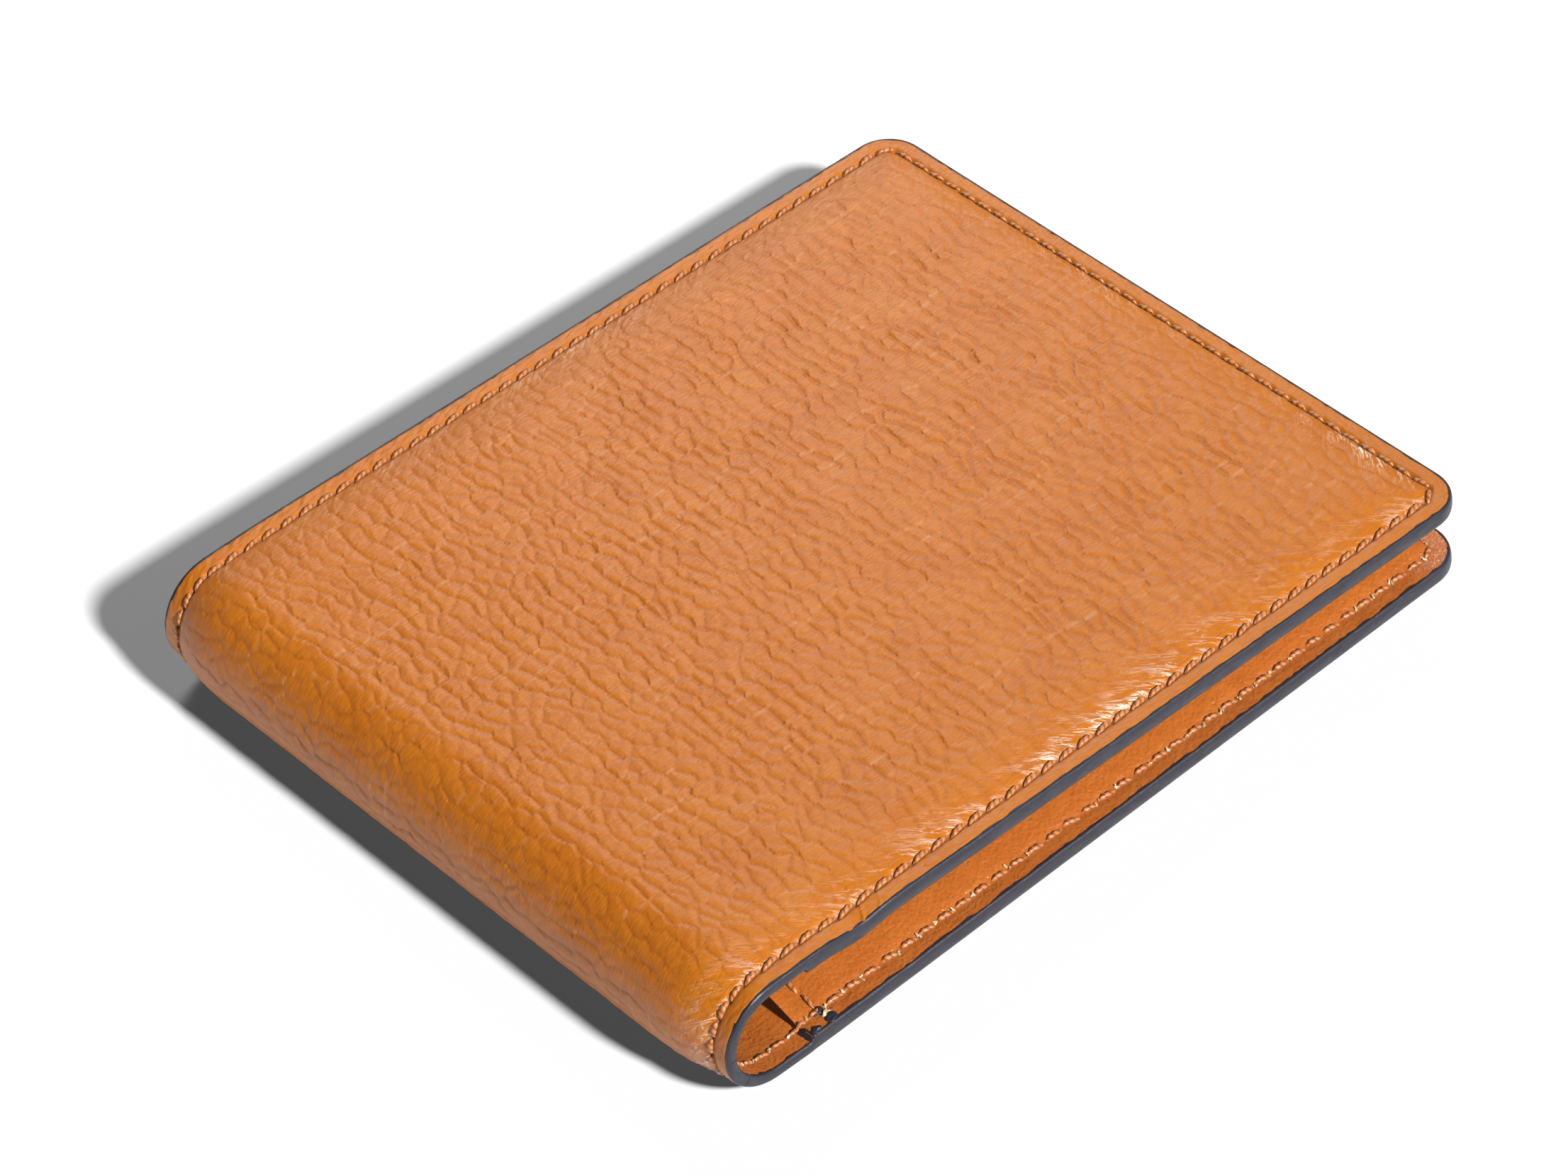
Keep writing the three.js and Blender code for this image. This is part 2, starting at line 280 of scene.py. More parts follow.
def layer_height(layer, side, along, across):
    """Height of a layer's outer side (0) or inner side (1)."""
    at_border, at_middle, at_panel_seam = LAYERS[layer][side]
    beyond = past_bend(along)
    share = padded_share(along, across) * smooth_step(beyond / PAD_START)
    depth = at_border + (at_middle - at_border) * share
    if layer in LIFTED:
        pressed = np.exp(-(((beyond - PANEL_SEAM) / SEAM_PRESS) ** 2)) * share
        free = smooth_step(1 - (beyond - PANEL_START) / FREE_EDGE)
        clear = smooth_step((SIDE - np.abs(across) - FREE_CLEAR[0]) / FREE_CLEAR[1])
        depth = depth + (at_panel_seam - at_middle) * pressed + FREE_LIFT * free * clear
    if layer == "lower_pocket":
        over_bar = smooth_step((across + BAR_END) / BAR_END) * (1 - share)
        depth = depth + BAR_STEP * over_bar
    return outer_height(along, across) - depth


def inmost_height(along, across):
    """Height of the inner face, whichever layer that is, close to the sewn edge."""
    lining, backing, base, pocket = (
        layer_height(layer, 1, along, across)
        for layer in ("lining", "backing", "base", "lower_pocket"))
    wall, panel, low = (
        smooth_step((inwards + STEP_BLUR / 2) / STEP_BLUR)
        for inwards in (SIDE - across - PANEL_TOP, past_bend(along) - PANEL_START,
                        LOWER_LIP - across))
    leaf = base + (pocket - base) * low
    return lining + wall * (backing + panel * (leaf - backing) - lining)


# %% [markdown]
# ## Random patterns that follow the leather
# Two patterns are enough for all the leather here. `soft_noise` is smooth and random. `cells`
# splits the hide into irregular cells, as the pebbled grain is split by its creases, and says
# how far each place is from the nearest crease and which way that crease runs.

# %% Random patterns
TABLE = 256  # the patterns repeat after this many cells
FAR = 99.0  # further than any real neighbour


def soft_noise(x, y, size, seed):
    """Smooth random bumps about `size` mm across, from -1 to 1."""
    table = np.random.default_rng(seed).random((TABLE, TABLE))
    u, v = x / size, y / size
    i, j = np.floor(u).astype(int), np.floor(v).astype(int)
    s, t = smooth_step(u - i), smooth_step(v - j)

    def corner(di, dj):
        return table[(i + di) % TABLE, (j + dj) % TABLE]

    low = corner(0, 0) * (1 - s) + corner(1, 0) * s
    high = corner(0, 1) * (1 - s) + corner(1, 1) * s
    return 2 * (low * (1 - t) + high * t) - 1


def cells(x, y, size_x, size_y, seed, jitter_x=0.9, jitter_y=0.9):
    """For each place: mm to the nearest cell border, how much that border runs along Y (0 to
    1), and a random number that belongs to the cell."""
    table = np.random.default_rng(seed).random((TABLE, TABLE, 3))
    u, v = x / size_x, y / size_y
    i, j = np.floor(u).astype(int), np.floor(v).astype(int)
    near = [np.full(u.shape, FAR)] + [np.zeros(u.shape) for _ in range(3)]
    after = [np.full(u.shape, FAR)] + [np.zeros(u.shape) for _ in range(3)]
    for di in (-1, 0, 1):
        for dj in (-1, 0, 1):
            spot = table[(i + di) % TABLE, (j + dj) % TABLE]
            du = i + di + 0.5 + jitter_x * (spot[..., 0] - 0.5) - u
            dv = j + dj + 0.5 + jitter_y * (spot[..., 1] - 0.5) - v
            found = [du * du + dv * dv, du, dv, spot[..., 2]]
            first = found[0] < near[0]
            second = ~first & (found[0] < after[0])
            for k in range(4):
                after[k] = np.where(first, near[k], np.where(second, found[k], after[k]))
                near[k] = np.where(first, found[k], near[k])
    across_x, across_y = (after[1] - near[1]) * size_x, (after[2] - near[2]) * size_y
    span = np.hypot(after[1] - near[1], after[2] - near[2])
    border = (after[0] - near[0]) / (2 * span) * math.sqrt(size_x * size_y)
    return border, np.abs(across_x) / np.hypot(across_x, across_y), near[3]


# %% [markdown]
# ## Grain of the outer leather
# Milled full-grain leather has rounded pebbles about 2 mm across, split by creases that run
# mostly parallel to the spine, because that is how the hide stretched. The relief is real
# geometry: each pebble swells, each crease sinks. Along a seam the leather is pulled down into a
# groove, dips at every needle hole, and puckers into short slanting wrinkles. All sizes are mm.

# %% The path of the seam and its needle holes
def seam_sizes(inset):
    """Corner radius, straight lengths and corner length of the closed seam round the cover."""
    radius = max(CORNER_R - inset, 0.2)
    lengthwise = 2 * (LEAF + BEND / 2 - inset - radius)
    crosswise = 2 * (SIDE - inset - radius)
    return radius, (lengthwise, crosswise, lengthwise, crosswise), radius * math.pi / 2


def seam_place(inset, distance):
    """Place and heading on the seam, measured from the rear end of its sewn bottom edge."""
    radius, straights, quarter = seam_sizes(inset)
    distance = distance % (sum(straights) + 4 * quarter)
    place = np.array([-LEAF + inset + radius, -SIDE + inset])
    for side, straight in enumerate(straights):
        turn = side * math.pi / 2
        heading = np.array([math.cos(turn), math.sin(turn)])
        left = np.array([-heading[1], heading[0]])
        if distance <= straight:
            return place + heading * distance, heading
        if distance <= straight + quarter:
            sweep = (distance - straight) / radius
            centre = place + heading * straight + left * radius
            spoke = heading * math.sin(sweep) - left * math.cos(sweep)
            return centre + radius * spoke, heading * math.cos(sweep) + left * math.sin(sweep)
        place = place + heading * (straight + radius) + left * radius
        distance -= straight + quarter
    return place, heading


def seam_run(inset, start, stop, spacing):
    """Evenly spaced places and headings between two distances along the seam."""
    distances = np.linspace(start, stop, max(2, round((stop - start) / spacing) + 1))
    found = [seam_place(inset, distance) for distance in distances]
    return np.array([place for place, _ in found]), np.array([way for _, way in found])


_, seam_straights, seam_quarter = seam_sizes(STITCH_INSET)
SEAM_LENGTH = sum(seam_straights) + 4 * seam_quarter
STITCHES = round(SEAM_LENGTH / PITCH)
HOLES = seam_run(STITCH_INSET, 0, SEAM_LENGTH, SEAM_LENGTH / STITCHES)[0][:-1]
print(f"needle holes round the cover: {len(HOLES)}, seam {SEAM_LENGTH:.0f} mm")


def nearest_hole(along, across):
    """Distance to the nearest needle hole; only places near the seam are measured."""
    gap = np.full(along.shape, FAR)
    close = np.abs(edge_gap(along, across) - STITCH_INSET) < 1.0
    place = np.stack([along[close], across[close]], axis=-1)
    found = np.full(len(place), FAR)
    for hole in HOLES:
        found = np.minimum(found, np.hypot(*(place - hole).T))
    gap[close] = found
    return gap


# %% Pebbles and creases
PEBBLES, FINE_CELLS, LONG_CREASES = (2.0, 2.4), (1.0, 1.15), (4.6, 9.0)  # along, across
PEBBLE_RISE = 0.035  # how much the tops of the pebbles differ
FLANK_WIDTH, FLANK_DEPTH = 0.6, 0.13  # the slope down to a crease
CREASE_WIDTH, CREASE_DEPTH = 0.21, 0.035  # the crease itself, below the slope
FINE_WIDTH, FINE_DEPTH = 0.18, 0.014
LONG_WIDTH, LONG_DEPTH = 0.32, 0.06
GLINT_WIDTH = 0.17


def pebble_relief(along, across):
    """Height in mm of the grain, how deep in a crease each place is (0 to 1), a random number
    for its pebble, and how much it glints."""
    warp_x = 0.6 * soft_noise(along, across, 6.0, 11) + 0.17 * soft_noise(along, across, 1.6, 12)
    warp_y = 0.8 * soft_noise(along, across, 6.5, 13) + 0.2 * soft_noise(along, across, 1.7, 14)
    x, y = along + warp_x, across + warp_y
    border, lengthwise, tone = cells(x, y, *PEBBLES, 15, 0.66)
    strength = (0.3 + 0.7 * lengthwise ** 1.5) * (0.85 + 0.35 * soft_noise(along, across, 4, 16))
    crease = strength * np.exp(-np.abs(border / CREASE_WIDTH) ** 1.4)
    flank = strength * np.exp(-np.abs(border / FLANK_WIDTH) ** 1.5)
    fine_border, fine_run, _ = cells(x, y, *FINE_CELLS, 20)
    fine = (0.3 + 0.7 * fine_run) * np.exp(-np.abs(fine_border / FINE_WIDTH) ** 1.4)
    long_border, long_run, _ = cells(along + 1.6 * warp_x, across + 2.0 * warp_y,
                                     *LONG_CREASES, 17)
    long_crease = long_run ** 3 * np.exp(-((long_border / LONG_WIDTH) ** 2))
    long_crease = long_crease * np.clip(0.6 + 0.7 * soft_noise(along, across, 7, 18), 0, 1)
    glint = (1 - lengthwise) ** 1.5 * np.exp(-((border / GLINT_WIDTH) ** 2))
    glint = glint * np.clip(1.6 * soft_noise(along, across, 3.2, 19), 0, 1)
    height = (PEBBLE_RISE * (tone - 1) - FLANK_DEPTH * flank - CREASE_DEPTH * crease
              - FINE_DEPTH * fine - LONG_DEPTH * long_crease)
    return height, np.clip(crease + 0.5 * long_crease, 0, 1), tone, glint


print("pebbles across the bend:", round(BEND / PEBBLES[0]))

# %% Groove, puckers and the whole relief
GROOVE_WIDTH, GROOVE_DEPTH = 0.42, 0.24  # along the seam
HOLE_WIDTH, HOLE_DEPTH = 0.33, 0.2
FLAT_BAND = 2.4  # the pebbles fade out this far inside the seam
STRETCHED, STRETCH_REACH = 0.7, 5  # how much flatter they are at the seam, and how far in
PUCKER, PUCKER_SLANT, PUCKER_HEIGHT, PUCKER_REACH = 1.15, 1.2, 0.24, 2.6  # wrinkles at a seam
OTHER_SEAMS = 0.45  # how strong the wrinkles are away from the sewn bottom edge
CRINKLE_HEIGHT, KINK_FOLD_HEIGHT = 0.05, 0.3  # in the border, and at the kink
EDGE_ROLL_WIDTH, EDGE_ROLL = 0.45, 0.16  # the raw edge is rounded down


def cover_relief(along, across):
    """Height of all that shapes the outer face, and the marks that its material reads."""
    gap = edge_gap(along, across)
    past_seam = gap - STITCH_INSET
    flat_band = smooth_step((past_seam + 0.3) / FLAT_BAND)
    stretched_flat = 1 - STRETCHED * np.exp(-np.clip(past_seam, 0, None) / STRETCH_REACH)
    grain, crease, tone, glint = pebble_relief(along, across)
    groove = GROOVE_DEPTH * np.exp(-((past_seam / GROOVE_WIDTH) ** 2))
    hole = np.exp(-((nearest_hole(along, across) / HOLE_WIDTH) ** 2))
    sideways = SIDE - np.abs(across) < open_side_gap(along)
    run = np.where(sideways, along, across) + PUCKER_SLANT * past_seam
    ridge = 1 - np.abs(soft_noise(run, 0.3 * past_seam, PUCKER, 21))
    reach = np.exp(-np.clip(past_seam, 0, None) / PUCKER_REACH) * smooth_step(past_seam / 0.5)
    patchy = 0.6 + 0.4 * soft_noise(run, past_seam, 7, 22)
    patchy = patchy * np.where(across < -SIDE / 2, 1, OTHER_SEAMS)
    pucker = PUCKER_HEIGHT * reach * patchy * (ridge ** 3 - 0.4)
    at_kink = np.exp(-(((along - BEND - KINK_AT) / 3.6) ** 2)
                     - np.clip(SIDE + across, 0, None) / 3)
    folds = (1 - np.abs(soft_noise(along - 0.6 * across, 0.4 * across, 1.3, 24))) ** 4
    crinkle = CRINKLE_HEIGHT * soft_noise(run, 2 * gap, 0.8, 23) * (1 - flat_band)
    crinkle = crinkle + KINK_FOLD_HEIGHT * at_kink * (folds - 0.3)
    rolled = EDGE_ROLL * np.clip(1 - gap / EDGE_ROLL_WIDTH, 0, 1) ** 2
    soft = (0.2 + 0.8 * flat_band) * stretched_flat
    height = grain * soft - groove - HOLE_DEPTH * hole + pucker + crinkle - rolled
    return height, {
        "grain_crease": crease * soft,
        "grain_glint": glint * soft,
        "pebble_tone": tone,
        "needle_hole": np.maximum(hole, 1.5 * groove),
        "pulled": reach * patchy,
        "seam_run": run,
        "seam_past": past_seam,
    }


print(f"a pucker is {PUCKER} mm wide, a stitch {PITCH} mm long")

# %% [markdown]
# ## Materials
# Each material starts from a real finish. Colours are sRGB hex values, as a colour picker shows
# them, and `linear` turns them into the linear values that Blender's shaders add up. Patterns
# are drawn on the piece's own `flat` UV map, which holds places on the unrolled leather in
# metres, so a pattern bends and moves with its piece.

# %% Colours and nodes
def linear(code):
    """A linear colour from a hex code such as "c8824a"."""
    parts = [int(code[k:k + 2], 16) / 255 for k in (0, 2, 4)]
    return (*[c / 12.92 if c <= 0.04045 else ((c + 0.055) / 1.055) ** 2.4 for c in parts], 1)


def fill(node, sockets):
    """Fills a node's input sockets, by name or number, or in order where they are a plain list.
    A node as a value is linked by its first output that is in use, an output as it is."""
    for socket, value in sockets.items() if isinstance(sockets, dict) else enumerate(sockets):
        if isinstance(value, bpy.types.Node):
            value = next(output for output in value.outputs if output.enabled)
        if isinstance(value, bpy.types.NodeSocket):
            node.id_data.links.new(value, node.inputs[socket])
        else:
            node.inputs[socket].default_value = value


def add_node(tree, kind, sockets=(), **settings):
    """Adds a node, with its settings and its sockets."""
    node = tree.nodes.new("ShaderNode" + kind)
    for setting, value in settings.items():
        setattr(node, setting, value)
    fill(node, sockets)
    return node


def start_material(name):
    """A material with its shader, and the flat UV map scaled to millimetres."""
    material = bpy.data.materials.new(name)
    material.use_nodes = True
    tree = material.node_tree
    tree.nodes.clear()
    shader = add_node(tree, "BsdfPrincipled")
    add_node(tree, "OutputMaterial", {"Surface": shader})
    flat = add_node(tree, "UVMap", uv_map="flat")
    flat_mm = add_node(tree, "VectorMath", {0: flat, "Scale": 1 / MM}, operation="SCALE")
    print("material:", name)
    return material, tree, shader, flat_mm


# %% [markdown]
# ## Milled full-grain cowhide
# Aniline-dyed leather, tumbled until its grain rises in soft pebbles and then waxed. The eye
# sees paler, slightly chalky tops, a deeper and warmer colour down the flanks and in the
# creases, and a satin sheen that turns glossy where the seams stretch the leather. Pebbles and
# creases are modelled; the material adds pores and the fine lines inside each pebble. Its colour
# also holds painted shade in the creases, the needle holes and the seam's groove, and painted
# highlights on the cross creases and on the wrinkles beside the seams.

# %% Pebbled cowhide: where the leather is wrinkled, for its bump and its painted highlights
WRINKLE_SIZE, BUNCH_SIZE = 0.8, 2.2  # mm along the seam, of one wrinkle and of a bunch of them
WRINKLE_DRAWN_OUT = 0.3  # how much less a wrinkle changes away from the seam than along it
RIDGE_WIDTH = 0.06  # share of the noise's range that makes a wrinkle's thin ridge

cowhide, tree, shader, flat_mm = start_material("milled_full_grain_cowhide")
mark = {
    name: add_node(tree, "Attribute", attribute_name=name).outputs["Fac"]
    for name in ("grain_crease", "pebble_tone", "grain_glint", "needle_hole", "pulled",
                 "seam_run", "seam_past")
}
at_seam = add_node(tree, "CombineXYZ", (mark["seam_run"], mark["seam_past"]))
drawn_out = add_node(tree, "Mapping", {"Vector": at_seam, "Scale": (1.0, WRINKLE_DRAWN_OUT, 1)})
# Thin wrinkle ridges beside the seams, in bunches: they bump the normal, and they are also
# painted pale as painted highlights.
wrinkle_ridges_and_glints = add_node(tree, "TexNoise", {"Vector": drawn_out, "Scale": 1 / WRINKLE_SIZE,
                                    "Detail": 3, "Distortion": 1.4})
wrinkle_ridges_and_glints = add_node(tree, "Math", (wrinkle_ridges_and_glints, 0.5), operation="SUBTRACT")
wrinkle_ridges_and_glints = add_node(tree, "Math", (wrinkle_ridges_and_glints,), operation="ABSOLUTE")
wrinkle_ridges_and_glints = add_node(tree, "MapRange", (wrinkle_ridges_and_glints, 0.0, RIDGE_WIDTH, 1.0, 0.0))
bunches = add_node(tree, "TexNoise", {"Vector": at_seam, "Scale": 1 / BUNCH_SIZE, "Detail": 1})
bunches = add_node(tree, "MapRange", (bunches, 0.43, 0.55))
tight = add_node(tree, "Math", (mark["pulled"], 1.5), operation="POWER")
wrinkle_ridges_and_glints = add_node(tree, "Math", (wrinkle_ridges_and_glints, bunches), operation="MULTIPLY")
wrinkle_ridges_and_glints = add_node(tree, "Math", (wrinkle_ridges_and_glints, tight), operation="MULTIPLY")

# %% Pebbled cowhide: colour with painted shade and highlights, gloss and fine relief
# The crease colour darkens the modelled creases: painted shade.
PEBBLE_TOP, PEBBLE_FLANK, PAINTED_CREASE_SHADE = linear("ca7616"), linear("b9630a"), linear("84380a")
# The first two colours here are painted highlights: on the cross creases, and on the wrinkles
# beside the seams. The third is painted shade in the needle holes and the seam's groove.
PAINTED_CREASE_GLINT, PAINTED_WRINKLE_GLINT, HOLE_SHADOW = linear("eeb888"), linear("ffe2c8"), linear("6b3310")
BLOTCH_SIZE, LINE_SIZE, PORE_SIZE = 9, 0.55, 0.16  # mm

blotches = add_node(tree, "TexNoise", {"Vector": flat_mm, "Scale": 1 / BLOTCH_SIZE, "Detail": 3})
lengthened = add_node(tree, "Mapping", {"Vector": flat_mm, "Scale": (0.45, 1.9, 1)})
lines = add_node(tree, "TexNoise", {"Vector": lengthened, "Scale": 1 / LINE_SIZE,
                                    "Detail": 4, "Distortion": 0.8})
pores = add_node(tree, "TexNoise", {"Vector": flat_mm, "Scale": 1 / PORE_SIZE})
shade = add_node(tree, "MapRange", (blotches, 0.3, 0.7))
shade = add_node(tree, "Math", (shade, 0.35), operation="MULTIPLY")
by_pebble = add_node(tree, "Math", (mark["pebble_tone"], 0.2), operation="MULTIPLY")
shade = add_node(tree, "Math", (shade, by_pebble), operation="ADD")
by_line = add_node(tree, "MapRange", (lines, 0.35, 0.65, 0.0, 0.45))
shade = add_node(tree, "Math", (shade, by_line), operation="ADD")
colour = add_node(tree, "Mix", {0: shade, 6: PEBBLE_TOP, 7: PEBBLE_FLANK}, data_type="RGBA")
for where, share, dye in (
    (mark["grain_crease"], 0.45, PAINTED_CREASE_SHADE), (mark["grain_glint"], 0.3, PAINTED_CREASE_GLINT),
    (wrinkle_ridges_and_glints, 2.4, PAINTED_WRINKLE_GLINT), (mark["needle_hole"], 0.75, HOLE_SHADOW),
):
    share = add_node(tree, "Math", (where, share), operation="MULTIPLY")
    colour = add_node(tree, "Mix", {0: share, 6: colour, 7: dye}, data_type="RGBA")
relief = add_node(tree, "Bump", {"Height": lines, "Distance": 0.07 * MM})
relief = add_node(tree, "Bump", {"Height": wrinkle_ridges_and_glints, "Distance": 0.07 * MM, "Normal": relief})
relief = add_node(tree, "Bump", {"Height": pores, "Distance": 0.014 * MM, "Normal": relief})
fill(shader, {
    "Base Color": colour,
    "Roughness": add_node(tree, "MapRange", (mark["pulled"], 0.0, 0.6, 0.43, 0.3)),
    "Normal": relief, "IOR": 1.5, "Specular IOR Level": 0.45, "Sheen Weight": 0.04,
    "Sheen Roughness": 0.5, "Sheen Tint": linear("f3dcd0"),
})

# %% [markdown]
# ## Smooth calf leather
# The inner wall and the card pockets are thinner leather, plated smooth, with a very fine grain
# like skin. It is glossier and more strongly coloured than the cover.

# %% Smooth calf
SKIN_CELL, FOLD_SIZE = 0.45, 3.5  # mm

calf, tree, shader, flat_mm = start_material("smooth_plated_calf")
drift = add_node(tree, "TexNoise", {"Vector": flat_mm, "Scale": 1.2}).outputs["Color"]
wandering = add_node(tree, "VectorMath", (flat_mm, drift), operation="ADD")
skin = add_node(tree, "TexVoronoi", {"Vector": wandering, "Scale": 1 / SKIN_CELL},
                feature="SMOOTH_F1")
folds = add_node(tree, "TexNoise", {"Vector": flat_mm, "Scale": 1 / FOLD_SIZE, "Detail": 3})
dye = add_node(tree, "Mix", {
    0: add_node(tree, "MapRange", (folds, 0.3, 0.7)), 6: linear("bf6a2a"), 7: linear("b45f20"),
}, data_type="RGBA")
dye = add_node(tree, "Mix", {
    0: add_node(tree, "MapRange", (skin, 0.0, 0.35, 0.35, 0.0)), 6: dye, 7: linear("8e4212"),
}, data_type="RGBA")
relief = add_node(tree, "Bump", {"Height": folds, "Distance": 0.07 * MM})
relief = add_node(tree, "Bump", {"Height": skin, "Distance": 0.11 * MM, "Normal": relief})
fill(shader, {
    "Base Color": dye, "Roughness": add_node(tree, "MapRange", (folds, 0.3, 0.7, 0.27, 0.38)),
    "Normal": relief, "IOR": 1.5,
})

# %% [markdown]
# ## Edge paint
# The raw edges are sanded and sealed with several coats of thick acrylic paint. It dries into a
# smooth, rounded, slightly rubbery bead, dark blue grey, with a soft shine and faint waves where
# the roller ran.

# %% Edge paint
WAVE_SIZE, DUST_SIZE = 0.9, 0.35  # mm

edge_paint, tree, shader, flat_mm = start_material("acrylic_edge_paint")
rolled = add_node(tree, "Mapping", {"Vector": flat_mm, "Scale": (0.35, 1.0, 1)})
waves = add_node(tree, "TexNoise", {"Vector": rolled, "Scale": 1 / WAVE_SIZE})
dust = add_node(tree, "TexNoise", {"Vector": flat_mm, "Scale": 1 / DUST_SIZE, "Detail": 3})
coat = add_node(tree, "Mix", {
    0: add_node(tree, "MapRange", (waves, 0.35, 0.65)), 6: linear("2c2b36"), 7: linear("23222c"),
}, data_type="RGBA")
coat = add_node(tree, "Mix", {
    0: add_node(tree, "MapRange", (dust, 0.62, 0.75, 0.0, 0.35)), 6: coat, 7: linear("4c4b58"),
}, data_type="RGBA")
relief = add_node(tree, "Bump", {"Height": waves, "Distance": 0.08 * MM})
relief = add_node(tree, "Bump", {"Height": dust, "Distance": 0.02 * MM, "Normal": relief})
fill(shader, {
    "Base Color": coat, "Roughness": add_node(tree, "MapRange", (waves, 0.3, 0.7, 0.38, 0.5)),
    "Normal": relief, "IOR": 1.48,
})

# %% [markdown]
# ## Sewing thread
# Bonded polyester thread, three plies twisted together, copper brown. The plies show as slanting
# ridges that catch the light one after another, with dark lines between them. The colour paints
# the ridges lighter and the lines darker, painted light and shade along the twist of the bump.

# %% Threads
PLY_TWIST = 0.8  # mm along the thread from one ply ridge to the next
THREAD_D = 0.56  # mm across
FIBRE_SIZE = 0.07  # mm


def make_thread(name, painted_light_ridge_colour, painted_shade_valley_colour):
    """A twisted thread; its UV map runs along it and once round it."""
    thread, tree, shader, flat_mm = start_material(name)
    parts = add_node(tree, "SeparateXYZ", (flat_mm,)).outputs
    turns = add_node(tree, "Math", (parts["X"], 2 * math.pi / PLY_TWIST), operation="MULTIPLY")
    round_it = add_node(tree, "Math", (parts["Y"], 2 / THREAD_D), operation="MULTIPLY")
    turns = add_node(tree, "Math", (turns, round_it), operation="ADD")
    ridges = add_node(tree, "Math", (turns,), operation="SINE")
    fibres = add_node(tree, "TexNoise", {"Vector": flat_mm, "Scale": 1 / FIBRE_SIZE})
    fibres = add_node(tree, "MapRange", (fibres, 0.3, 0.7, -0.35, 0.35))
    fuzzy = add_node(tree, "Math", (ridges, fibres), operation="ADD")
    # The ply ridges are painted lighter and the lines between them darker: painted light and
    # shade that follow the bump's twist.
    share = add_node(tree, "MapRange", (fuzzy, -1.0, 0.3))
    fill(shader, {
        "Base Color": add_node(tree, "Mix", {0: share, 6: painted_shade_valley_colour, 7: painted_light_ridge_colour},
                               data_type="RGBA"),
        "Normal": add_node(tree, "Bump", {"Height": fuzzy, "Distance": 0.01 * MM}),
        "Roughness": 0.28, "IOR": 1.52, "Sheen Weight": 0.1,
    })
    return thread


needle_thread = make_thread("copper_bonded_thread", linear("cf8148"), linear("92501f"))
bobbin_thread = make_thread("copper_bobbin_thread", linear("c67c48"), linear("87481f"))
cut_fibre = make_thread("cut_leather_fibre", linear("e0cba6"), linear("b3935f"))

# %% [markdown]
# ## Lining cloth and stiffener board
# The bill compartment is lined with a plain-woven tan cloth: two sets of yarns go over and under
# each other, coarser here than on real lining, so that they show. The stiffener is bonded leather
# board, a felt-like grey brown sheet that nobody sees until the wallet is cut open.

# %% Cloth, board and the paper of the floor
YARNS = 2.6  # per mm; real ones lie about twice as close and would be too fine to show
SLUB_SIZE, PULP_SIZE = 0.8, 0.5  # mm

cloth, tree, shader, flat_mm = start_material("plain_woven_lining")
parts = add_node(tree, "SeparateXYZ", (flat_mm,)).outputs
weave = []
for way in "XY":
    turns = add_node(tree, "Math", (parts[way], math.pi * YARNS), operation="MULTIPLY")
    weave.append(add_node(tree, "Math", (turns,), operation="SINE"))
weave = add_node(tree, "Math", weave, operation="MULTIPLY")
lengthened = add_node(tree, "Mapping", {"Vector": flat_mm, "Scale": (0.3, 2, 1)})
slubs = add_node(tree, "TexNoise", {"Vector": lengthened, "Scale": 1 / SLUB_SIZE, "Detail": 3})
# The yarn is painted darker where the weave sinks and lighter where it rises: painted shade and
# light over the weave's bump.
yarn = add_node(tree, "Mix", {
    0: add_node(tree, "MapRange", (weave, -1, 1)), 6: linear("7c5430"), 7: linear("a87545"),
}, data_type="RGBA")
yarn = add_node(tree, "Mix", {
    0: add_node(tree, "MapRange", (slubs, 0.45, 0.7, 0, 0.4)), 6: yarn, 7: linear("bd8c5a"),
}, data_type="RGBA")
relief = add_node(tree, "Bump", {"Height": weave, "Distance": 0.06 * MM})
fill(shader, {"Base Color": yarn, "Normal": relief, "Roughness": 0.75, "Sheen Weight": 0.3})

board, tree, shader, flat_mm = start_material("bonded_leather_board")
fibres = add_node(tree, "TexNoise", {"Vector": flat_mm, "Scale": 1 / PULP_SIZE, "Detail": 6,
                                     "Roughness": 0.7, "Distortion": 1.5})
pulp = add_node(tree, "Mix", {
    0: add_node(tree, "MapRange", (fibres, 0.3, 0.7)), 6: linear("7d6a54"), 7: linear("a8957a"),
}, data_type="RGBA")
relief = add_node(tree, "Bump", {"Height": fibres, "Distance": 0.05 * MM})
fill(shader, {"Base Color": pulp, "Normal": relief, "Roughness": 0.85})

paper, _, shader, _ = start_material("white_paper_sweep")  # matt paper mirrors nothing
fill(shader, {"Base Color": linear("fbfbfb"), "Roughness": 0.9, "Specular IOR Level": 0.0})
floor.data.materials.append(paper)

# %% [markdown]
# ## Making sheets and laying them on the fold
# Every leather or cloth piece starts as flat grids from `create_grid`. They are joined into a
# closed sheet while flat, and only then are the points moved to their places on the fold.

# %% Helpers for sheets
COARSER = 1.0
FINE_BAND = 4  # mm from a raw edge to where a grid starts to get coarser


def finish_piece(name, mesh, material, nodes, hinge=None, body=None):
    """An object for a mesh: it rides a body, or, given a hinge, stays where it was laid."""
    piece = put(name, mesh)
    mesh.materials.append(material)
    piece.visible_diffuse = False  # keeps the leather's orange glow out of the grey shadow
    if nodes:
        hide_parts(*nodes)
    if hinge is None:
        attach(piece, body)
    else:
        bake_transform(piece)
    print(f"{name}: {len(mesh.polygons)} faces")
    return piece


def graded_lines(start, stop, step, fine, edges):
    """Lines from start to stop, about a step apart, and closer together near the edges."""
    places = np.linspace(start, stop, 6000)
    gap = np.min([np.abs(places - edge) for edge in edges], axis=0)
    apart = (fine + (step - fine) * smooth_step((gap - FINE_BAND) / 3)) * COARSER
    count = np.concatenate([[0], np.cumsum(np.diff(places) / apart[1:])])
    wanted = np.linspace(0, count[-1], max(3, round(count[-1]) + 1))
    return np.interp(wanted, count, places)


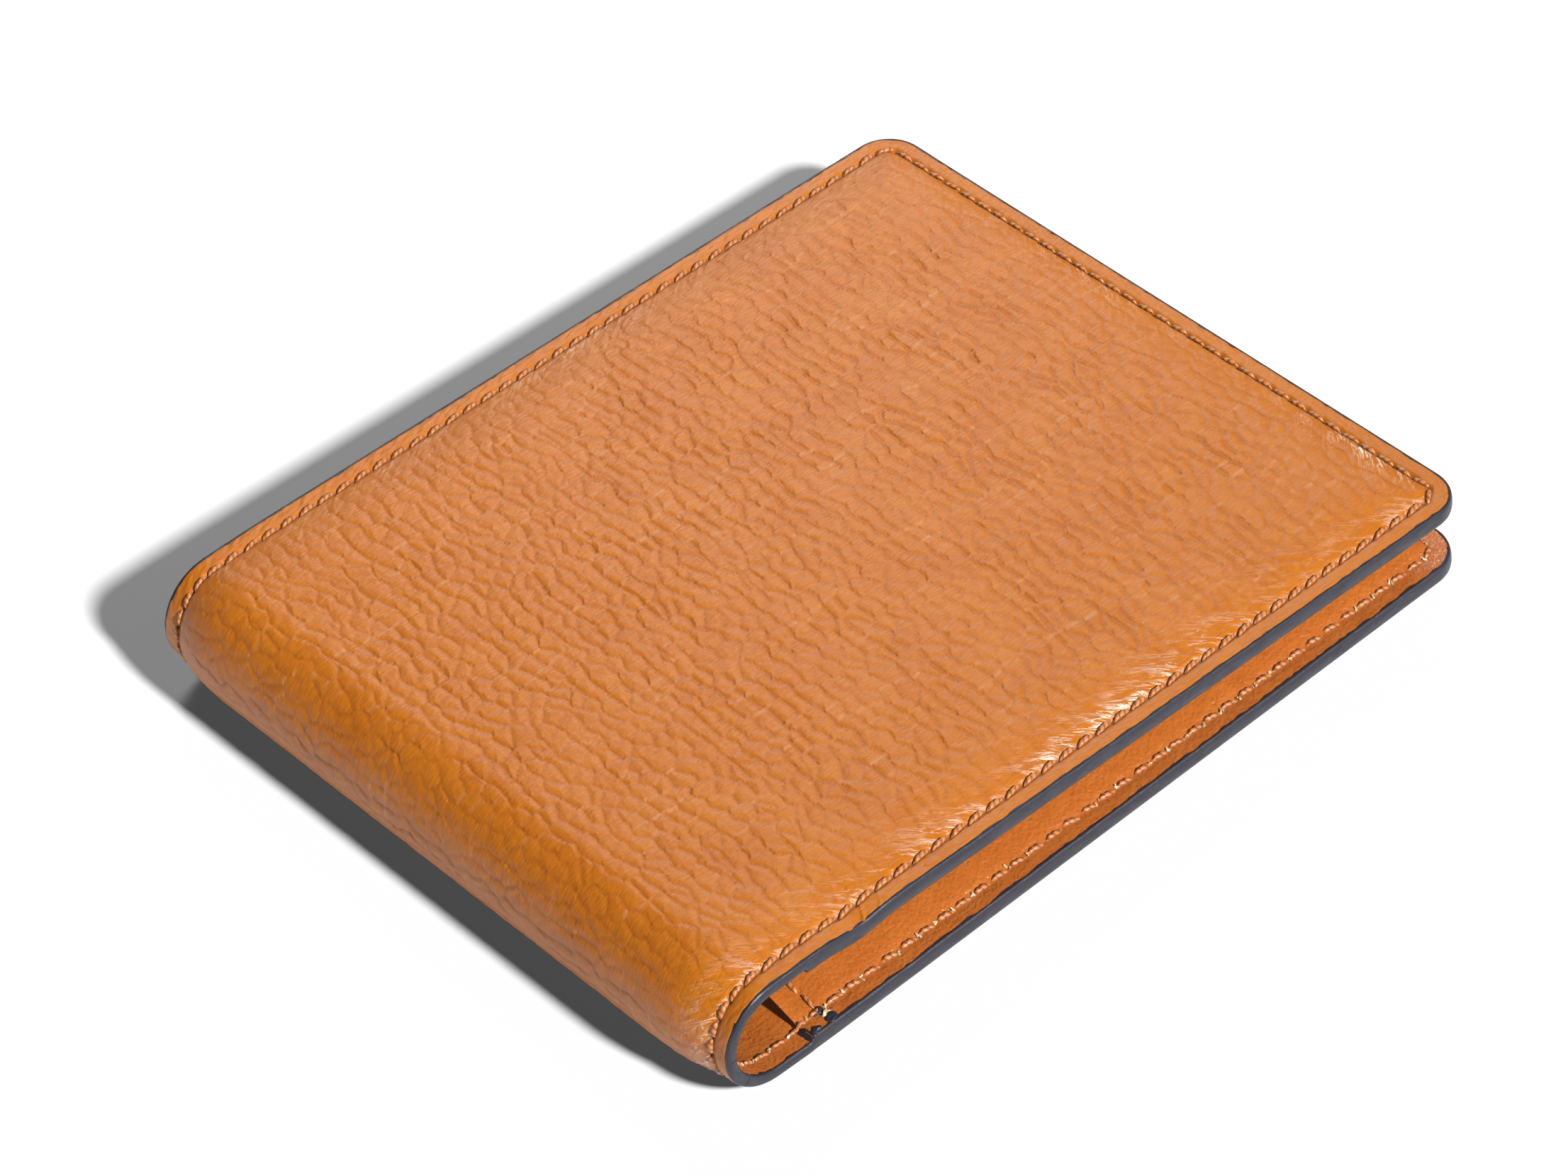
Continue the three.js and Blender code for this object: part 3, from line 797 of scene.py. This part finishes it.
def add_grid(mesh, along_lines, across_lines, height=0.0):
    """Adds a grid to a bmesh, with its points at their places on the flat cover, in mm."""
    columns, rows = len(along_lines) - 1, len(across_lines) - 1
    made = bmesh.ops.create_grid(mesh, x_segments=columns, y_segments=rows, size=0.5)
    for point in made["verts"]:
        column, row = round((point.co.x + 0.5) * columns), round((point.co.y + 0.5) * rows)
        point.co = (along_lines[column], across_lines[row], height)


def to_mesh(name, shape):
    """Turns a closed bmesh into a mesh whose faces point outwards."""
    bmesh.ops.recalc_face_normals(shape, faces=shape.faces)
    mesh = bpy.data.meshes.new(name)
    shape.to_mesh(mesh)
    shape.free()
    return mesh


def read(items, field, kind=float, width=1):
    """One value, or one row of `width` values, for each of a mesh's points, corners or faces."""
    values = np.empty(len(items) * width, kind)
    items.foreach_get(field, values)
    return values.reshape(-1, width) if width > 1 else values


def set_places(mesh, places):
    mesh.vertices.foreach_set("co", places.astype(np.float32).ravel())
    mesh.update()


def map_flat(mesh, along, across):
    """A UV map that holds each point's place on the flat cover, in metres."""
    uv = mesh.uv_layers.new(name="flat")
    corners = read(mesh.loops, "vertex_index", int)
    places = np.stack([along[corners], across[corners]], axis=-1) * MM
    uv.data.foreach_set("uv", places.astype(np.float32).ravel())


def mend(mesh, rolled_up=False, open_ends=False):
    """After the points have moved: closes a tube that was rolled up, and turns the faces
    outwards again."""
    shape = bmesh.new()
    shape.from_mesh(mesh)
    if rolled_up:
        bmesh.ops.remove_doubles(shape, verts=shape.verts, dist=1e-6)
    if open_ends:
        bmesh.ops.holes_fill(shape, edges=shape.edges)
    bmesh.ops.recalc_face_normals(shape, faces=shape.faces)
    shape.to_mesh(mesh)
    shape.free()


def give_two_sides(shape):
    """Extrudes a flat sheet, so that it has a side at height 0 and a side at height 1."""
    lifted = bmesh.ops.extrude_face_region(shape, geom=shape.faces[:], use_keep_orig=True)
    for point in lifted["geom"]:
        if isinstance(point, bmesh.types.BMVert):
            point.co.z = 1


def left_of(headings):
    """The direction to the left of each heading on the flat cover."""
    return np.stack([-headings[:, 1], headings[:, 0]], axis=-1)


# %% [markdown]
# ## The outer cover
# One piece of leather runs round both leaves and the spine. Its outer side carries all the
# relief, so its faces are 0.2 to 0.5 mm; its hidden inner side stays four times coarser. Both
# come from one coarse sheet with two sides, of which only the outer one is subdivided. The cover
# is made in five stretches, because a mesh may bend at one hinge only. The shading at a cut is
# worked out from the surface itself and not from one stretch's faces, so that no line shows.

# %% The outer face and its shading
COVER_THICKNESS = LAYERS["cover"][1][0]
FIELD_START = BEND + 18.0  # where the front leaf's own stretch starts
CUTS = [-LEAF, HINGE_STEP, 2 * HINGE_STEP, 3 * HINGE_STEP, BEND + LEAF]
BORDER_STEP = 0.84  # grid spacing at the raw edges, before it is subdivided


def cover_surface(along, across):
    """Points of the outer face in metres, and the marks that its material reads."""
    along, across = round_corners(along, across)
    relief, marks = cover_relief(along, across)
    return lay_on_fold(along, across, outer_height(along, across) + relief)[0], marks


def cover_normals(along, across):
    """Outward directions of the outer face, from its slope both ways."""
    reach, tiny = 0.14, 1e-12
    ends = (CUTS[0], CUTS[-1])
    slope_along = (cover_surface(np.clip(along + reach, *ends), across)[0]
                   - cover_surface(np.clip(along - reach, *ends), across)[0])
    slope_across = (cover_surface(along, np.clip(across + reach, -SIDE, SIDE))[0]
                    - cover_surface(along, np.clip(across - reach, -SIDE, SIDE))[0])
    normals = np.cross(slope_along, slope_across)
    size = np.linalg.norm(normals, axis=1, keepdims=True)
    outwards = lay_on_fold(along, across, 0 * along)[1]
    return np.where(size > tiny, normals / np.maximum(size, tiny), outwards)


def shade_cover(mesh, outer, normals):
    """Gives the outer side its worked-out normals and leaves the other faces flat."""
    corners = read(mesh.loops, "vertex_index", int)
    totals = read(mesh.polygons, "loop_total", int)
    by_face = np.repeat(read(mesh.polygons, "normal", float, 3), totals, axis=0)
    starts = np.concatenate([[0], np.cumsum(totals)[:-1]])
    outer_face = np.repeat(np.logical_and.reduceat(outer[corners], starts), totals)
    by_corner = np.where(outer_face[:, None], normals[corners], by_face)
    mesh.shade_smooth()
    mesh.normals_split_custom_set(by_corner.tolist())


# %% Outer cover
def make_cover(name, start, stop, step, nodes, hinge=None, body=None):
    """One stretch of the outer cover."""
    shape = bmesh.new()
    add_grid(shape, graded_lines(start, stop, 4 * step, BORDER_STEP, (CUTS[0], CUTS[-1])),
             graded_lines(-SIDE, SIDE, 5.4 * step, BORDER_STEP, (-SIDE, SIDE)))
    give_two_sides(shape)
    outside = [edge for edge in shape.edges if max(point.co.z for point in edge.verts) < 0.5]
    bmesh.ops.subdivide_edges(shape, edges=outside, cuts=3, use_grid_fill=True)
    mesh = to_mesh(name, shape)
    flat = read(mesh.vertices, "co", float, 3)
    along, across, outer = flat[:, 0], flat[:, 1], flat[:, 2] < 0.5
    places, marks = cover_surface(along, across)
    rounded = round_corners(along, across)
    inside = lay_on_fold(*rounded, outer_height(*rounded) - COVER_THICKNESS)[0]
    set_places(mesh, np.where(outer[:, None], places, inside))
    mend(mesh)
    map_flat(mesh, along, across)
    for mark, values in marks.items():
        mesh.attributes.new(mark, "FLOAT", "POINT").data.foreach_set(
            "value", np.where(outer, values, 0).astype(np.float32))
    shade_cover(mesh, outer, cover_normals(along, across))
    finish_piece(name, mesh, cowhide, nodes, hinge, body)


for number, (stretch, stop, step, nodes) in enumerate((
    ("rear", CUTS[1], 0.36, ["rear_cover", "spine_cover_1"]),
    ("spine_low", CUTS[2], 0.25, ["spine_cover_1", "spine_cover_2"]),
    ("spine_high", CUTS[3], 0.25, ["spine_cover_2", "spine_cover_3"]),
    ("front_bend", FIELD_START, 0.25, ["spine_cover_3", "front_cover"]),
)):
    make_cover(f"outer_cover_{stretch}", CUTS[number], stop, step, nodes, number)
make_cover("outer_cover_front", FIELD_START, CUTS[-1], 0.28, ["front_cover"], body="front_leaf")

# %% [markdown]
# ## Linings, boards and pockets
# The layers inside are plain sheets. Each is a flat grid, cut to its outline, extruded to give
# it two sides, and laid at its own depth. Where a free edge can be seen it is bevelled and
# painted, as a real turned or sanded edge is: the lips of the card pockets and the edge of the
# card panel beside the spine.

# %% Relief and paint of the inner layers
INNER_GROOVE_WIDTH, INNER_GROOVE = 0.45, 0.13  # the seams sink into the inner face too
EDGE_WAVES, PANEL_WAVES, BROAD_WAVES = 0.1, 0.14, 0.05  # heights of the puckers beside them
RIM_ROUNDING = 0.11
RIM, FINE_RIM = 0.5, 0.3  # faces whose middles lie this close to a free edge belong to its rim


def inner_relief(along, across):
    """How far the inner face sinks at its seams, and puckers beside them, in mm."""
    past_seam = edge_gap(along, across) - STITCH_INSET
    past_panel = past_bend(along) - PANEL_SEAM
    sideways = SIDE - np.abs(across) < open_side_gap(along)
    run = np.where(sideways, along, across) - 0.6 * past_seam
    wavy = soft_noise(run, 0.4 * past_seam, 1.4, 31) * np.exp(-np.abs(past_seam) / 1.6)
    at_panel = soft_noise(across, past_panel, 1.5, 32) * np.exp(-np.abs(past_panel) / 1.4)
    groove = (np.exp(-((past_seam / INNER_GROOVE_WIDTH) ** 2))
              + np.exp(-((past_panel / INNER_GROOVE_WIDTH) ** 2)))
    broad = soft_noise(along, across, 6, 33)
    return (INNER_GROOVE * groove + EDGE_WAVES * wavy + PANEL_WAVES * at_panel
            + BROAD_WAVES * broad)


def add_painted_rim(shape, painted):
    """Paints the cut edge where `painted(along, across)` holds, by material number."""
    for face in shape.faces:
        if abs(face.normal.z) < 0.5:
            middle = face.calc_center_median()
            face.material_index = int(painted(middle.x, middle.y))


# %% Laying one inner layer
def lay_sheet(name, layer, along_span, across_span, step, material, nodes,
              hinge=None, body=None, cut_away=None, painted=None, puckered=False):
    """A closed sheet of one inner layer, bent to its place."""
    shape = bmesh.new()
    lines = [np.linspace(*span, max(3, round((span[1] - span[0]) / step / COARSER) + 1))
             for span in (along_span, across_span)]
    add_grid(shape, *lines)
    if cut_away is not None:
        gone = [face for face in shape.faces if cut_away(*face.calc_center_median()[:2])]
        bmesh.ops.delete(shape, geom=gone, context="FACES")
    give_two_sides(shape)
    bmesh.ops.recalc_face_normals(shape, faces=shape.faces)
    if painted is not None:
        add_painted_rim(shape, painted)
    mesh = to_mesh(name, shape)
    flat = read(mesh.vertices, "co", float, 3)
    along, across = round_corners(flat[:, 0], flat[:, 1])
    inner = flat[:, 2] > 0.5
    height = np.where(inner, layer_height(layer, 1, along, across),
                      layer_height(layer, 0, along, across))
    if puckered:
        height = height + np.where(inner, inner_relief(along, across), 0)
    set_places(mesh, lay_on_fold(along, across, height)[0])
    mend(mesh)
    map_flat(mesh, flat[:, 0], flat[:, 1])
    mesh.shade_smooth()
    mesh.set_sharp_from_angle(angle=math.radians(50))
    piece = finish_piece(name, mesh, material, nodes, hinge,
                         body)
    if painted is not None:
        mesh.materials.append(edge_paint)
        rounded = piece.modifiers.new("rounded edge", "BEVEL")
        rounded.width, rounded.segments = RIM_ROUNDING * MM, 2
        rounded.limit_method, rounded.angle_limit = "ANGLE", math.radians(60)
        rounded.harden_normals = False


def on_leaf(leaf, near, far):
    """The span of the flat cover between two distances from the bend, on one leaf."""
    return (-far, -near) if leaf == "rear" else (BEND + near, BEND + far)


# %% Bill lining and inner wall, through the spine
WALL_EDGE = SIDE - PANEL_TOP
STRETCHES = ["rear", "spine_low", "spine_high", "front"]


def nodes_of(number, leaf_node, *spine_nodes):
    """The CAD nodes that one stretch of a layer stands for: the leaf's, if it has one, and the
    strips of the spine that it covers."""
    stretch = STRETCHES[number]
    strips = [n for n in (number, number + 1) if 1 <= n <= 3]
    leaf = [f"{stretch}_{leaf_node}"] if stretch in ("rear", "front") else []
    return leaf + [f"spine_{node}_{n}" for node in spine_nodes for n in strips]


for number, stretch in enumerate(STRETCHES):
    span = (CUTS[number], CUTS[number + 1])
    step = 0.5 if "spine" in stretch else 0.9
    lay_sheet(f"bill_lining_{stretch}", "lining", span, (-SIDE, SIDE), step, cloth,
              nodes_of(number, "bill_lining", "lining"), hinge=number)
    lay_sheet(f"inner_wall_{stretch}", "backing", span, (-SIDE, WALL_EDGE), step, calf,
              nodes_of(number, "pocket_backing", "backing"), hinge=number,
              painted=lambda along, across: across > WALL_EDGE - RIM, puckered=True)

# %% Stiffeners, card base and card pockets on each leaf
BOARD_INSET = 9.0
POCKET_DEPTH, BAR_DEPTH = 46, 14  # of an upper pocket's tongue, and of the wide bar at its lip
SLOT_SIDE = 7.0  # the tongue is this much narrower at each side
POCKET_INSET = 0.4  # the two upper pockets end this far inside the panel
for leaf in ("rear", "front"):
    body = f"{leaf}_leaf"
    lay_sheet(f"stiffener_{leaf}", "stiffener", on_leaf(leaf, BOARD_INSET, LEAF - BOARD_INSET),
              (BOARD_INSET - SIDE, SIDE - BOARD_INSET), 2.5, board,
              [f"{leaf}_stiffener"], body=body)
    lay_sheet(f"card_base_{leaf}", "base", on_leaf(leaf, PANEL_START, LEAF),
              (-SIDE, WALL_EDGE), 0.8, calf, [f"{leaf}_card_base"],
              body=body, puckered=True,
              painted=lambda along, across: across > WALL_EDGE - RIM
              or past_bend(along) < PANEL_START + FINE_RIM)
    for number, layer in enumerate(("upper_pocket", "middle_pocket")):
        lip = LOWER_LIP + (2 - number) * LIP_STEP
        lay_sheet(f"card_{layer}_{leaf}", layer,
                  on_leaf(leaf, PANEL_START + POCKET_INSET, LEAF - POCKET_INSET),
                  (lip - POCKET_DEPTH, lip), 0.8, calf,
                  [f"{leaf}_{layer.split('_')[0]}_card_pocket"], body=body,
                  cut_away=lambda along, across: across < lip - BAR_DEPTH and not (
                      PANEL_START + SLOT_SIDE < past_bend(along) < LEAF - SLOT_SIDE),
                  painted=lambda along, across: across > lip - RIM
                  or past_bend(along) < PANEL_START + 2 * POCKET_INSET)
    lay_sheet(f"card_lower_pocket_{leaf}", "lower_pocket", on_leaf(leaf, PANEL_START, LEAF),
              (-SIDE, LOWER_LIP), 0.42, calf,
              [f"{leaf}_lower_card_pocket"], body=body, puckered=True,
              painted=lambda along, across: across > LOWER_LIP - FINE_RIM
              or past_bend(along) < PANEL_START + FINE_RIM)

# %% [markdown]
# ## Painted edges
# The paint is a rounded bead over the stacked raw edges. It is lofted: a strip of stations along
# the edge, each with the same closed cross-section, whose lips wander a little over the leather
# as brushed paint does. The first and last rows of the strip are merged, which closes the tube.

# %% Edge paint beads: their section and their path
BEAD_SECTION = [  # how far out of the edge, share of the thickness from the top, extra height
    (-0.28, 0.0, 0.03), (-0.1, 0.0, 0.07), (0.09, 0.0, 0.0), (0.22, 0.12, 0.0),
    (0.29, 0.32, 0.0), (0.3, 0.5, 0.0), (0.29, 0.68, 0.0), (0.22, 0.88, 0.0),
    (0.09, 1.0, 0.0), (-0.1, 1.0, -0.07), (-0.28, 1.0, -0.03), (-0.3, 0.5, 0.0),
]
BEAD_STEP = 0.36  # from one station to the next
LIP_WANDER, FINE_WANDER, BEAD_SWELL = 0.13, 0.11, 0.035


def make_bead(name, runs, nodes, hinge):
    """Paint along one or more runs of the edge, each given by its start and stop distance."""
    shape = bmesh.new()
    parts = []
    for start, stop in runs:
        places, headings = seam_run(0.0, start, stop, BEAD_STEP * COARSER)
        add_grid(shape, np.arange(len(places)) + sum(len(part[0]) for part in parts),
                 np.arange(len(BEAD_SECTION) + 1.0))
        parts.append((places, headings))
    places, headings = (np.concatenate(part) for part in zip(*parts))
    mesh = to_mesh(name, shape)
    flat = read(mesh.vertices, "co", float, 3)
    station = np.round(flat[:, 0]).astype(int)
    corner = np.round(flat[:, 1]).astype(int) % len(BEAD_SECTION)
    out, share, extra = np.array(BEAD_SECTION)[corner].T
    place, heading = places[station], headings[station]
    top = outer_height(*place.T) - 0.1
    bottom = inmost_height(*place.T)
    run = station * BEAD_STEP
    lip = np.where(out < -0.2, LIP_WANDER * soft_noise(run, corner * 7.0, 1.3, 41)
                   + FINE_WANDER * soft_noise(run, corner * 7.0, 0.6, 42), 0)
    swell = np.where(out > 0.2, BEAD_SWELL * soft_noise(run, corner * 0.8, 3.0, 43), 0)
    edge = place - left_of(heading) * (out + lip + swell)[:, None]
    height = top + (bottom - top) * share + extra
    set_places(mesh, lay_on_fold(edge[:, 0], edge[:, 1], height)[0])
    map_flat(mesh, run, corner * 0.35)
    mend(mesh, rolled_up=True, open_ends=True)
    mesh.shade_smooth()
    mesh.set_sharp_from_angle(angle=math.radians(75))
    finish_piece(name, mesh, edge_paint, nodes, hinge)


_, edge_straights, edge_quarter = seam_sizes(0.0)
EDGE_LENGTH = sum(edge_straights) + 4 * edge_quarter


def edge_at(along, at_mouth):
    """How far round the raw edge a place on its bottom or mouth side lies."""
    from_start = along + LEAF - CORNER_R
    if not at_mouth:
        return from_start
    return 2 * (edge_straights[0] + edge_quarter) + edge_straights[1] - from_start


for number, stretch in enumerate(STRETCHES):
    low, high = CUTS[number], CUTS[number + 1]
    runs = {
        "rear": [(edge_at(high, True), edge_at(high, False) + EDGE_LENGTH)],
        "front": [(edge_at(low, False), edge_at(low, True))],
    }.get(stretch, [(edge_at(low, False), edge_at(high, False)),
                    (edge_at(high, True), edge_at(low, True))])
    nodes = nodes_of(number, "edge_paint", "bottom_edge_paint", "mouth_edge_paint")
    make_bead(f"painted_edge_{stretch}", runs, nodes, number)

# %% [markdown]
# ## Spilled paint where the card panel meets the edge
# The card panel ends in a small step at the painted edge. The brush left too much paint there:
# it dried in a few lumps, with a torn scrap of pale leather fibre stuck between them. Each lump
# is a ball, flattened and made uneven by the same soft noise as the leather.

# %% Lumps of paint and a scrap of fibre
def make_lumps(name, lumps, material, seed):
    """Uneven lumps on the rear leaf's inner face: (along, across, long, wide, high) in mm."""
    shape = bmesh.new()
    for along, across, long, wide, high in lumps:
        ball = bmesh.ops.create_icosphere(shape, subdivisions=3, radius=1.0)["verts"]
        bmesh.ops.scale(shape, verts=ball, vec=(long, wide, high))
        bmesh.ops.translate(shape, verts=ball, vec=(along, across, 0))
    mesh = to_mesh(name, shape)
    flat = read(mesh.vertices, "co", float, 3)
    sideways, up_and_down = 0.25, 0.5
    uneven = 1 + up_and_down * soft_noise(flat[:, 0] * 2, flat[:, 1] * 2, 0.7, seed)
    flat[:, 0] += sideways * soft_noise(flat[:, 1], flat[:, 2], 0.4, seed + 1)
    flat[:, 1] += sideways * soft_noise(flat[:, 0], flat[:, 2], 0.4, seed + 2)
    height = inmost_height(flat[:, 0], flat[:, 1]) - flat[:, 2] * uneven
    set_places(mesh, lay_on_fold(flat[:, 0], flat[:, 1], height)[0])
    mend(mesh)
    map_flat(mesh, flat[:, 0], flat[:, 1])
    mesh.shade_smooth()
    finish_piece(name, mesh, material, [], body="rear_leaf")


make_lumps("paint_lumps", [
    (-PANEL_START, -SIDE + 0.9, 0.35, 1.0, 0.3),
    (-PANEL_START - 0.8, -SIDE + 0.3, 1.0, 0.45, 0.35),
    (-PANEL_START - 3.4, -SIDE + 0.7, 0.8, 0.7, 0.3),
    (-PANEL_START - 3.0, -SIDE + 2.2, 0.7, 0.4, 0.3),
], edge_paint, 71)
make_lumps("fibre_scrap", [
    (-PANEL_START - 3.3, -SIDE + 1.5, 0.45, 0.35, 0.4),
    (-PANEL_START - 3.7, -SIDE + 1.3, 0.3, 0.25, 0.3),
], cut_fibre, 75)

# %% [markdown]
# ## Stitches
# A lockstitch machine ran once round the whole open wallet. Outside, the needle thread shows as
# a row of short twisted lengths, each diving into a hole at both ends; inside, the bobbin thread
# does the same, with pale tufts of leather fibre where the needle broke through. One stitch is a
# small tube with closed ends. It is copied along the seam while flat and then laid on the fold.

# %% One stitch, and rows of them
STITCH_LENGTH = PITCH - 0.1
STITCH_SLANT = 0.12  # how far a stitch turns away from the seam, in radians
ROWS, SIDES = 16, 8  # grid of one stitch, along it and round it


def make_stitches(name, places, headings, height_at, outer, thread, nodes,
                  hinge=None, body=None, width=THREAD_D, seed=51):
    """A piece made of one stitch at each place, lying on the outer or the inner face."""
    random = np.random.default_rng(seed)
    shape = bmesh.new()
    for number in range(len(places)):
        add_grid(shape, np.linspace(0, 1, ROWS + 1), np.linspace(0, 1, SIDES + 1),
                 height=float(number))
    mesh = bpy.data.meshes.new(name)
    shape.to_mesh(mesh)
    shape.free()
    flat = read(mesh.vertices, "co", float, 3)
    share, turn, which = flat[:, 0], flat[:, 1] * 2 * math.pi, np.round(flat[:, 2]).astype(int)
    swing = STITCH_SLANT + random.normal(0, 0.05, len(places))
    heading = headings * np.cos(swing)[:, None] + left_of(headings) * np.sin(swing)[:, None]
    aside = left_of(heading)
    fat = 1 + random.normal(0, 0.06, len(places))
    plump = np.clip(1 - np.abs(2 * share - 1) ** 2.6, 0, 1) ** 0.6
    twist = math.pi * share * STITCH_LENGTH / PLY_TWIST
    radius = width / 2 * fat[which] * plump * (1 + 0.1 * np.cos(2 * (turn - twist)))
    centre = places[which] + heading[which] * ((share - 0.5) * STITCH_LENGTH)[:, None]
    centre = centre + aside[which] * (radius * np.cos(turn))[:, None]
    dive = 0.4 * np.abs(2 * share - 1) ** 3
    side = 1 if outer else -1
    base = height_at(centre[:, 0], centre[:, 1])
    height = base + side * (width * 0.2 - dive + radius * np.sin(turn))
    set_places(mesh, lay_on_fold(centre[:, 0], centre[:, 1], height)[0])
    shifted = which * 0.37  # so that no two stitches carry the same ply pattern
    map_flat(mesh, share * STITCH_LENGTH + shifted, flat[:, 1] * math.pi * THREAD_D)
    mend(mesh, rolled_up=True)
    mesh.shade_smooth()
    finish_piece(name, mesh, thread, nodes, hinge, body)


def make_tufts(name, places, height_at, hinge=None, body=None, seed=61):
    """Small torn tufts of fibre at some of the holes on the inside."""
    random = np.random.default_rng(seed)
    shape = bmesh.new()
    chosen = [place for place in places if random.random() < 0.75]
    for place in chosen:
        for _ in range(2):
            made = bmesh.ops.create_cone(shape, segments=5, radius1=0.17, radius2=0.05,
                                         depth=0.5, cap_ends=True)
            lean = Matrix.Rotation(random.uniform(0.5, 1.4), 3, "X")
            lean = Matrix.Rotation(random.uniform(0, 2 * math.pi), 3, "Z") @ lean
            bmesh.ops.rotate(shape, verts=made["verts"], matrix=lean)
            offset = Vector((*(place + random.normal(0, 0.14, 2)), 0.06))
            bmesh.ops.translate(shape, verts=made["verts"], vec=offset)
    mesh = to_mesh(name, shape)
    flat = read(mesh.vertices, "co", float, 3)
    height = height_at(flat[:, 0], flat[:, 1]) - flat[:, 2]
    set_places(mesh, lay_on_fold(flat[:, 0], flat[:, 1], height)[0])
    mend(mesh)
    map_flat(mesh, flat[:, 0], flat[:, 1])
    finish_piece(name, mesh, cut_fibre, [], hinge, body)


def outer_seat(along, across):
    return outer_height(along, across) - 0.1


def inner_seat(along, across):
    return inmost_height(along, across) + 0.02


# %% The seam round the cover, both sides of it
spacing = SEAM_LENGTH / STITCHES
middles, ways = seam_run(STITCH_INSET, spacing / 2, SEAM_LENGTH + spacing / 2, spacing)
middles, ways = middles[:-1], ways[:-1]
for number, stretch in enumerate(STRETCHES):
    here = (middles[:, 0] >= CUTS[number]) & (middles[:, 0] < CUTS[number + 1])
    make_stitches(f"needle_stitches_{stretch}", middles[here], ways[here], outer_seat, True,
                  needle_thread, nodes_of(number, "needle_thread"), hinge=number)
    make_stitches(f"bobbin_stitches_{stretch}", middles[here], ways[here], inner_seat, False,
                  bobbin_thread, nodes_of(number, "bobbin_thread"),
                  hinge=number, width=0.5, seed=52)
    near = (HOLES[:, 0] >= CUTS[number]) & (HOLES[:, 0] < CUTS[number + 1])
    make_tufts(f"needle_tufts_{stretch}", HOLES[near], inner_seat, hinge=number, seed=61 + number)

# %% The seam along each card panel
def panel_seat(along, across):
    """Height of whichever pocket is on top, up the card panel from its lowest to its base."""
    height = layer_height("base", 1, along, across)
    for steps, layer in ((2, "upper_pocket"), (1, "middle_pocket"), (0, "lower_pocket")):
        height = np.where(across < LOWER_LIP + steps * LIP_STEP,
                          layer_height(layer, 1, along, across), height)
    return height + 0.08


panel_rows = np.arange(-SIDE + STITCH_INSET + 1.6, WALL_EDGE - 1.5, PITCH)
for leaf in ("rear", "front"):
    column = on_leaf(leaf, PANEL_SEAM, PANEL_SEAM)[0]
    seam = np.stack([np.full(len(panel_rows), column), panel_rows], axis=-1)
    make_stitches(f"panel_stitches_{leaf}", seam, np.tile([0.0, 1.0], (len(seam), 1)),
                  panel_seat, False, needle_thread, [f"{leaf}_pocket_thread"],
                  body=f"{leaf}_leaf", seed=53)
